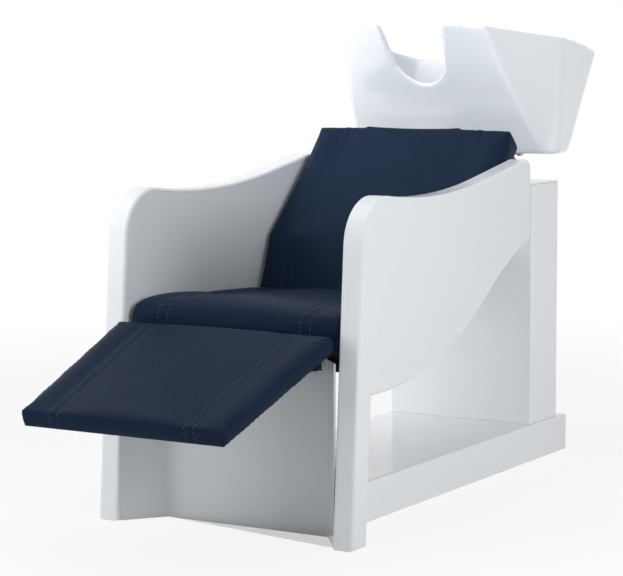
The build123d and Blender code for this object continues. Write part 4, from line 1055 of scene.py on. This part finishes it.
@dataclass
class Upholstery:
    """Seat, backrest and legrest pads."""

    half_width: float = 0.239
    seam_shares: tuple[float, float] = (0.73, 0.64)
    legrest_rear: Place = (0.241, -0.572, 0.406)
    legrest_front: Place = (0.219, -0.905, 0.287)
    legrest_slope: float = math.radians(19.6)
    backrest_voxel: float = 0.0057
    seat_low_swell: Place = (0.003, 0.0, 0.002)
    legrest_low_swell: Place = (0.003, 0.009, 0.006)
    legrest_high_swell: Place = (0.003, -0.003, 0.001)

    def _straight(self) -> list[SeamPlane]:
        """Seams of a pad with straight sides."""
        shares = [s * side.value for s in self.seam_shares for side in Side]
        return [SeamPlane(Vector((share * self.half_width, 0, 0)), Vector((1, 0, 0))) for share in shares]

    def _narrowing(self) -> list[SeamPlane]:
        """Seams of the legrest, which narrows to its front."""
        up = Vector((0, -math.sin(self.legrest_slope), math.cos(self.legrest_slope)))
        planes = []
        for share in self.seam_shares:
            for side in Side:
                rear, front = Vector(self.legrest_rear), Vector(self.legrest_front)
                rear.x *= share * side.value
                front.x *= share * side.value
                planes.append(SeamPlane(rear, (front - rear).cross(up).normalized()))
        return planes

    def build(self) -> None:
        """Builds the three pads."""
        seat = Pad("seat_cushion", Body.FRAME, Vector((0, -0.5, 1)).normalized(), self._straight())
        seat.low_swell = self.seat_low_swell
        seat.build()
        back = Pad("backrest_cushion", Body.FRAME, Vector((0, -1, 0.45)).normalized(), self._straight())
        back.voxel = self.backrest_voxel
        back.build()
        legrest = Pad("legrest_cushion", Body.LEGREST, Vector((0, -0.7, 1)).normalized(), self._narrowing())
        legrest.low_swell = self.legrest_low_swell
        legrest.high_swell = self.legrest_high_swell
        legrest.build()


@dataclass
class ArmShell:
    """Moulded arm tray: a dished outer skin, rounded edges and a rim round its open inner side."""

    side: Side
    wall: float = 0.007
    skin: float = 0.005
    outer_radius: float = 0.0075
    inner_radius: float = 0.0068
    frame_inner_radius: float = 0.004
    arc_steps: int = 6
    edge_step: float = 0.008
    grid_step: float = 0.006
    fine_step: float = 0.0022
    dish_depth: float = 0.006
    dish_corner: tuple[float, float] = (-0.488, 0.313)
    dish_front_top: tuple[float, float] = (-0.524, 0.543)
    dish_middle: tuple[float, float] = (-0.218, 0.342)
    dish_rear: tuple[float, float] = (-0.002, 0.437)
    dish_fade_height: float = 0.230
    dish_fade_length: float = 0.900
    dish_slope_width: float = 0.0065
    dish_blend: float = 0.018
    row_share: float = 0.866
    edge_clear_share: float = 0.6
    sharpest_corner: float = 0.6
    sharp_turn: float = math.radians(40)
    flat_weight: int = 60

    def __post_init__(self) -> None:
        """Works out the crease's circle and the shell's outline from the frame."""
        low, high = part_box("side_shell_right")
        self.inner_x, self.outer_x = low.x, high.x
        self.outline = self._frame_outline()
        a, b, c = (complex(*p) for p in (self.dish_corner, self.dish_middle, self.dish_rear))
        w = (c - a) / (b - a)
        centre = a + (b - a) * (w - abs(w) ** 2) / (2j * w.imag)
        self.crease_centre = np.array([centre.real, centre.imag])
        self.crease_radius = abs(a - centre)

    def _frame_outline(self) -> np.ndarray:
        """Side view of the frame's shell as one loop of Y and Z, anticlockwise."""
        shape = bmesh.new()
        shape.from_mesh(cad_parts["side_shell_right"].data)
        bmesh.ops.remove_doubles(shape, verts=shape.verts, dist=MERGE_DISTANCE)
        level = self.inner_x + self.frame_inner_radius
        edges = {e for e in shape.edges if all(abs(v.co.x - level) < MERGE_DISTANCE for v in e.verts)}
        shape.edges.index_update()
        loop = np.array([(v.co.y, v.co.z) for v in chained(edges)])
        shape.free()
        points = []
        for start, end in zip(loop[:-1], loop[1:]):
            parts = max(1, round(float(np.linalg.norm(end - start)) / self.edge_step))
            points += [start + (end - start) * i / parts for i in range(parts)]
        points = np.array(points)
        after = np.roll(points, -1, axis=0)
        area = np.sum(points[:, 0] * after[:, 1] - after[:, 0] * points[:, 1])
        return points if area > 0 else points[::-1]

    def _inset(self, distance: float) -> np.ndarray:
        """Outline drawn in by a distance."""
        before = self.outline - np.roll(self.outline, 1, axis=0)
        after = np.roll(self.outline, -1, axis=0) - self.outline
        before /= np.linalg.norm(before, axis=1, keepdims=True)
        after /= np.linalg.norm(after, axis=1, keepdims=True)
        inward = np.stack([-(before + after)[:, 1], (before + after)[:, 0]], axis=1)
        inward /= np.linalg.norm(inward, axis=1, keepdims=True)
        cosine = np.sum(inward * np.stack([-after[:, 1], after[:, 0]], axis=1), axis=1)
        return self.outline + inward * distance / np.maximum(cosine, self.sharpest_corner)[:, None]

    def _crease_distances(self, places: np.ndarray) -> tuple[np.ndarray, np.ndarray]:
        """How far each Y and Z lies behind the dish's front crease and above its lower one."""
        corner, top = np.array(self.dish_corner), np.array(self.dish_front_top)
        rise = (top - corner) / np.linalg.norm(top - corner)
        from_corner = places - corner
        behind = from_corner[:, 0] * rise[1] - from_corner[:, 1] * rise[0]
        above = self.crease_radius - np.linalg.norm(places - self.crease_centre, axis=1)
        return behind, above

    def _dish(self, places: np.ndarray) -> np.ndarray:
        """Depth of the dish at each Y and Z."""
        behind, above = self._crease_distances(places)
        share = np.clip(0.5 + 0.5 * (above - behind) / self.dish_blend, 0, 1)
        inside = above + (behind - above) * share - self.dish_blend * share * (1 - share)
        edge = np.clip(inside / self.dish_slope_width, 0, 1)
        from_corner = places - np.array(self.dish_corner)
        fade = 1 - from_corner[:, 1] / self.dish_fade_height - from_corner[:, 0] / self.dish_fade_length
        return self.dish_depth * edge * edge * (3 - 2 * edge) * np.clip(fade, 0, 1)

    @staticmethod
    def _inside(points: np.ndarray, loop: np.ndarray, margin: float) -> np.ndarray:
        """Those points that lie inside a loop and clear of it by a margin."""
        y, z = points[:, 0:1], points[:, 1:2]
        y0, z0 = loop[:, 0], loop[:, 1]
        y1, z1 = np.roll(y0, -1), np.roll(z0, -1)
        crosses = ((z0 > z) != (z1 > z)) & (y < (y1 - y0) * (z - z0) / (z1 - z0 + 1e-12) + y0)
        inside = crosses.sum(axis=1) % 2 == 1
        near = np.min(np.hypot(y - y0, z - z0), axis=1)
        return points[inside & (near > margin)]

    def _grid(self, step: float, low: np.ndarray, high: np.ndarray) -> np.ndarray:
        """Staggered points over a rectangle."""
        rows = np.arange(low[1], high[1], step * self.row_share)
        columns = np.arange(low[0], high[0], step)
        return np.array([(y + step * 0.5 * (i % 2), z) for i, z in enumerate(rows) for y in columns])

    @staticmethod
    def _face(loop: np.ndarray, inner: np.ndarray) -> tuple[np.ndarray, list[list[int]]]:
        """Triangles that fill a loop through inner points.

        Args:
            loop: The boundary.
            inner: Points inside it.

        Returns:
            The points, boundary first, and the triangles.
        """
        points = [Vector(p) for p in np.vstack([loop, inner])]
        edges = [(i, (i + 1) % len(loop)) for i in range(len(loop))]
        places, _, faces, *_ = delaunay_2d_cdt(points, edges, [], FILL_INSIDE, FILL_EPSILON)
        return np.array([tuple(p) for p in places]), [list(f) for f in faces]

    def build(self) -> bpy.types.Object:
        """Builds the shell and lets it stand for the frame's own."""
        arc = [math.pi / 2 * i / self.arc_steps for i in range(self.arc_steps + 1)]
        pocket_x = self.outer_x - self.dish_depth - self.skin
        rings = [(self.wall, pocket_x), (self.wall, self.inner_x)]
        r = self.inner_radius
        rings += [(r * (1 - math.cos(a)), self.inner_x + r - r * math.sin(a)) for a in arc[::-1]]
        r = self.outer_radius
        rings += [(r * (1 - math.cos(a)), self.outer_x - r + r * math.sin(a)) for a in arc]
        count = len(self.outline)
        verts, faces = [], []
        for inset, x in rings:
            verts += [(x, y, z) for y, z in self._inset(inset)]
        for ring in range(len(rings) - 1):
            a, b = ring * count, (ring + 1) * count
            faces += [[a + i, a + (i + 1) % count, b + (i + 1) % count, b + i] for i in range(count)]
        face_loop = self._inset(self.outer_radius)
        coarse = self._grid(self.grid_step, face_loop.min(axis=0), face_loop.max(axis=0))
        fine = self._grid(self.fine_step, face_loop.min(axis=0), face_loop.max(axis=0))
        inner = np.vstack([coarse[~self._crease_zone(coarse)], fine[self._crease_zone(fine)]])
        inner = self._inside(inner, face_loop, self.grid_step * self.edge_clear_share)
        places, triangles = self._face(face_loop, inner)
        offset = (len(rings) - 1) * count
        verts += [(self.outer_x - d, y, z) for (y, z), d in zip(places[count:], self._dish(places[count:]))]
        faces += [[offset + i for i in triangle] for triangle in triangles]
        _, cap_faces = self._face(self._inset(self.wall), np.zeros((0, 2)))
        faces += [triangle[::-1] for triangle in cap_faces if max(triangle) < count]
        mesh = bpy.data.meshes.new("arm_shell")
        mirror = self.side.value
        mesh.from_pydata([(x * mirror, y, z) for x, y, z in verts], [], faces)
        return self._finish(mesh)

    def _crease_zone(self, places: np.ndarray) -> np.ndarray:
        """Whether each place lies near the dish's crease."""
        reach = 2 * self.dish_slope_width
        nearest = np.minimum(*self._crease_distances(places))
        low = (places[:, 1] < self.dish_front_top[1] + reach) & (places[:, 0] < self.dish_rear[0] + reach)
        return (np.abs(nearest) < reach) & low

    def _finish(self, mesh: bpy.types.Mesh) -> bpy.types.Object:
        """Turns the faces outward, shades them and mounts the shell."""
        shape = bmesh.new()
        shape.from_mesh(mesh)
        bmesh.ops.remove_doubles(shape, verts=shape.verts, dist=MERGE_DISTANCE)
        bmesh.ops.recalc_face_normals(shape, faces=shape.faces)
        if shape.calc_volume(signed=True) < 0:
            bmesh.ops.reverse_faces(shape, faces=shape.faces)
        shape.to_mesh(mesh)
        shape.free()
        name = self.side.name.lower()
        piece = linked(f"arm_shell_{name}", mesh)
        for face in mesh.polygons:
            face.use_smooth = True
        mesh.set_sharp_from_angle(angle=self.sharp_turn)
        modify(piece, "WEIGHTED_NORMAL", keep_sharp=True, weight=self.flat_weight)
        return mounted(baked(piece), SHELL_WHITE, Body.FRAME, f"side_shell_{name}")


@dataclass
class Casings:
    """White casings of the pedestal, with rounded edges."""

    radius: float = 0.0018
    plinth_radius: float = 0.0012
    seat_nodes: tuple[str, ...] = ("back_shell", "side_liner_right", "side_liner_left")
    pedestal_nodes: tuple[str, ...] = ("column_housing", "column_cap", "rear_access_panel", "bridge_cover")

    def build(self) -> None:
        """Builds every casing in place of its node."""
        # The pedestal casings' lighter white is painted light.
        for finish, nodes in ((SHELL_WHITE, self.seat_nodes), (PEDESTAL_PAINTED_LIGHT, self.pedestal_nodes)):
            for node in nodes:
                mounted(softened(node, node + "_casing", self.radius), finish, Body.FRAME, node)
        plinth = softened("plinth_cover", "plinth_casing", self.plinth_radius)
        mounted(plinth, PEDESTAL_PAINTED_LIGHT, Body.FRAME, "plinth_cover")
        # The front panel's grey colour is painted shade, standing in for the shade under the legrest.
        panel = softened("front_panel", "front_panel_casing", self.radius)
        mounted(panel, PANEL_PAINTED_SHADE, Body.FRAME, "front_panel")


@dataclass
class BasinHead:
    """Ceramic basin with its waste and mixer."""

    rim_radius: float = 0.004
    voxel: float = 0.0037
    smoothing: int = 8
    wall_low: float = 0.08
    rim_band: float = 0.03
    ledge_clear: float = 0.1
    wall_smoothing: int = 50
    foot_height: float = 0.024
    foot_smoothing: int = 24
    metal_radius: float = 0.0008

    def _basin(self) -> None:
        """Basin with glaze-rounded edges and a softer foot."""
        basin = softened("basin", "basin_glazed", self.rim_radius)
        modify(basin, "REMESH", mode="VOXEL", voxel_size=self.voxel)
        modify(basin, "SMOOTH", factor=SMOOTH_FACTOR, iterations=self.smoothing)
        baked(basin)
        low, high = (corner.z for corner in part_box("basin"))
        tap = sum(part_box("tap_body"), Vector()) / 2
        wall = basin.vertex_groups.new(name="wall")
        for vert in basin.data.vertices:
            above = (vert.co.z - low) / self.wall_low - 1
            below = (high - vert.co.z) / self.rim_band - 1
            beside = (vert.co.xy - tap.xy).length / self.ledge_clear - 1
            wall.add([vert.index], min(1.0, max(0.0, min(above, below, beside))), "REPLACE")
        smoothing = {"iterations": self.wall_smoothing, "vertex_group": wall.name}
        modify(basin, "SMOOTH", factor=SMOOTH_FACTOR, **smoothing)
        baked(basin)
        shape = bmesh.new()
        shape.from_mesh(basin.data)
        foot = [v for v in shape.verts if v.co.z < low + self.foot_height]
        for _ in range(self.foot_smoothing):
            bmesh.ops.smooth_vert(
                shape, verts=foot, factor=SMOOTH_FACTOR, use_axis_x=True, use_axis_y=True, use_axis_z=True
            )
        shape.to_mesh(basin.data)
        shape.free()
        for face in basin.data.polygons:
            face.use_smooth = True
        mounted(basin, GLAZE_WHITE, Body.BASIN, "basin")

    def build(self) -> None:
        """Builds the basin and dresses what is fitted to it."""
        self._basin()
        fittings = [
            ("drain_flange", CHROME, Body.BASIN),
            ("drain_strainer", CHROME, Body.STRAINER),
            ("tap_body", CHROME, Body.BASIN),
            ("tap_cap", CHROME, Body.CAP),
            ("tap_lever", CHROME, Body.LEVER),
            ("hose_ferrule", PLASTIC_BLACK, Body.BASIN),
            ("clamp_lever", PLASTIC_BLACK, Body.CLAMP),
        ]
        for node, finish, body in fittings:
            mounted(softened(node, node + "_fitting", self.metal_radius), finish, body, node)


@dataclass
class Hardware:
    """Frame nodes that keep their own shape and only get a finish."""

    steel: tuple[str, ...] = (
        "back_cross_tube", "front_cross_tube", "outrigger_right", "outrigger_left", "seat_rail_right",
        "seat_rail_left", "front_posts", "bridge_beam_right", "bridge_beam_left", "base_plate",
        "column_posts", "column_top_plate", "rear_screw_bars", "back_upright_right", "back_upright_left",
        "legrest_arm_right", "legrest_arm_left", "hinge_bracket_right", "hinge_bracket_left",
        "basin_bracket", "tilt_bracket", "pipe_plate",
    )
    wood: tuple[str, ...] = ("seat_pan", "backrest_board", "legrest_board", "side_blocks")
    zinc: tuple[str, ...] = ("side_bolts", "hinge_pins", "basin_bolts", "tilt_pins")
    grey: tuple[str, ...] = ("waste_pipe", "drain_tail", "drain_locknut")
    dark: tuple[str, ...] = ("friction_washers",)

    def build(self) -> None:
        """Dresses the nodes and replaces the plain screws."""
        # The near-black plywood colour is painted shade.
        groups = (
            (STEEL_BLACK, self.steel), (PLY_PAINTED_SHADE, self.wood), (ZINC, self.zinc),
            (PLASTIC_GREY, self.grey), (PLASTIC_BLACK, self.dark),
        )
        for finish, nodes in groups:
            for node in nodes:
                finish.dress(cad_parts[node])
        ScrewHeads("rear_panel_screws", Body.FRAME).build()
        ScrewHeads("board_screws", Body.FRAME).build()
        ScrewHeads("legrest_screws", Body.LEGREST).build()


@dataclass(frozen=True)
class SoftBox:
    """Square lamp that faces a point. Gloss shows its image only if it is mirrored."""

    name: str
    place: Place
    size: float
    watts: float
    aim: Place = (0.0, -0.1, 0.45)
    mirrored: bool = False
    spread: float = 180.0

    def hang(self) -> None:
        """Adds the lamp."""
        lamp = bpy.data.lights.new(self.name, "AREA")
        lamp.size = self.size
        lamp.energy = self.watts
        lamp.spread = math.radians(self.spread)
        holder = bpy.data.objects.new(self.name, lamp)
        holder.location = self.place
        holder.visible_camera = False
        holder.visible_glossy = self.mirrored
        holder.rotation_euler = (Vector(self.aim) - Vector(self.place)).to_track_quat("-Z", "Y").to_euler()
        bpy.context.scene.collection.objects.link(holder)


@dataclass
class Studio:
    """Pale floor, soft lamps and the camera at the photograph's angle."""

    image_width: float = 623.0
    image_height: float = 576.0
    focal_pixels: float = 2200.0
    centre_row: float = 230.0
    sensor: float = 36.0
    camera_place: Place = (2.28166, -4.10807, 0.92829)
    camera_turn: float = math.radians(30.671)
    camera_dip: float = math.radians(4.624)
    floor_half: float = 40.0
    sky_level: float = 0.33
    sky_blue: float = 1.01
    floor_dark: float = 0.88
    floor_light: float = 0.9
    floor_scale: float = 2.0
    floor_share: float = 0.84
    floor_near: float = 1.2
    floor_far: float = 3.2

    def build(self) -> None:
        """Builds the whole studio."""
        self._camera()
        self._floor()
        self._sky()
        lamps = (
            SoftBox("lamp_top", (-0.4, -0.6, 3.2), 3.0, 30.0, mirrored=True),
            SoftBox("lamp_right", (2.4, -1.15, 1.25), 1.0, 25.5),
            SoftBox("lamp_front", (-2.3, -2.3, 2.1), 1.6, 22.0),
            SoftBox("lamp_basin", (-0.9, -1.5, 1.5), 0.8, 2.9, (-0.15, 0.45, 1.0), spread=55.0),
            SoftBox("lamp_left", (-1.2, -1.7, 0.42), 0.6, 6.5, (-0.2, -0.5, 0.2)),
        )
        for lamp in lamps:
            lamp.hang()
        bpy.context.scene.view_settings.view_transform = "Standard"

    def _camera(self) -> None:
        """Camera that frames the bed as the photograph does."""
        lens = bpy.data.cameras.new("camera")
        lens.sensor_width = self.sensor
        lens.lens = self.focal_pixels / self.image_width * self.sensor
        lens.shift_y = -(self.image_height / 2 - self.centre_row) / self.image_width
        turn, dip = self.camera_turn, self.camera_dip
        ahead = Vector((-math.sin(turn) * math.cos(dip), math.cos(turn) * math.cos(dip), -math.sin(dip)))
        right = Vector((math.cos(turn), math.sin(turn), 0.0))
        rows = Matrix((right, right.cross(ahead), -ahead)).transposed().to_4x4()
        rows.translation = Vector(self.camera_place)
        camera = bpy.data.objects.new("camera", lens)
        camera.matrix_world = rows
        bpy.context.scene.collection.objects.link(camera)
        bpy.context.scene.camera = camera

    @staticmethod
    def _seen(graph: Graph) -> Sock:
        """1 for rays from the camera, or through gloss or glass, and 0 for light."""
        path = graph.add("ShaderNodeLightPath")
        rays = [graph.out(path, name) for name in ("Is Camera Ray", "Is Glossy Ray", "Is Transmission Ray")]
        return rays[0].math("MAXIMUM", rays[1]).math("MAXIMUM", rays[2])

    def _floor(self) -> None:
        """White floor that keeps a faint shadow."""
        h = self.floor_half
        mesh = bpy.data.meshes.new("floor")
        mesh.from_pydata([(-h, -h, 0), (h, -h, 0), (h, h, 0), (-h, h, 0)], [], [(0, 1, 2, 3)])
        floor = linked("floor", mesh)
        paint = bpy.data.materials.new("floor_paint")
        paint.use_nodes = True
        paint.node_tree.nodes.clear()
        graph = Graph(paint.node_tree)
        place = graph.out(graph.add("ShaderNodeTexCoord"), "Object")
        dark, light = (self.floor_dark,) * 3, (self.floor_light,) * 3
        colour = graph.mix(graph.noise(place, self.floor_scale), dark, light)
        matt = graph.out(graph.add("ShaderNodeBsdfDiffuse", inputs={"Color": colour}))
        glow = graph.out(graph.add("ShaderNodeEmission"))
        radius = graph.out(graph.add("ShaderNodeVectorMath", {"operation": "LENGTH"}, {0: place}), "Value")
        fade = radius.step(self.floor_near, self.floor_far)
        share = self._seen(graph) * (self.floor_share + fade * (1 - self.floor_share))
        both = graph.add("ShaderNodeMixShader", inputs={0: share, 1: matt, 2: glow})
        graph.add("ShaderNodeOutputMaterial", inputs={"Surface": graph.out(both)})
        mesh.materials.append(paint)

    def _sky(self) -> None:
        """Even sky: white where it is seen, grey where it lights."""
        sky = bpy.data.worlds.new("sky")
        sky.use_nodes = True
        sky.node_tree.nodes.clear()
        graph = Graph(sky.node_tree)
        level = self.sky_level
        dim = {"Color": (level, level, level * self.sky_blue, 1.0)}
        light = graph.out(graph.add("ShaderNodeBackground", inputs=dim))
        white = graph.out(graph.add("ShaderNodeBackground", inputs={"Color": (1.0, 1.0, 1.0, 1.0)}))
        both = graph.add("ShaderNodeMixShader", inputs={0: self._seen(graph), 1: light, 2: white})
        graph.add("ShaderNodeOutputWorld", inputs={"Surface": graph.out(both)})
        bpy.context.scene.world = sky


def main() -> None:
    """Builds the studio and dresses the bed, one sub-assembly after another."""
    logging.basicConfig(level=logging.INFO, format="%(name)s: %(message)s")
    Studio().build()
    for side in Side:
        ArmShell(side).build()
    Casings().build()
    Upholstery().build()
    BasinHead().build()
    Hardware().build()


if __name__ == "__main__":
    main()
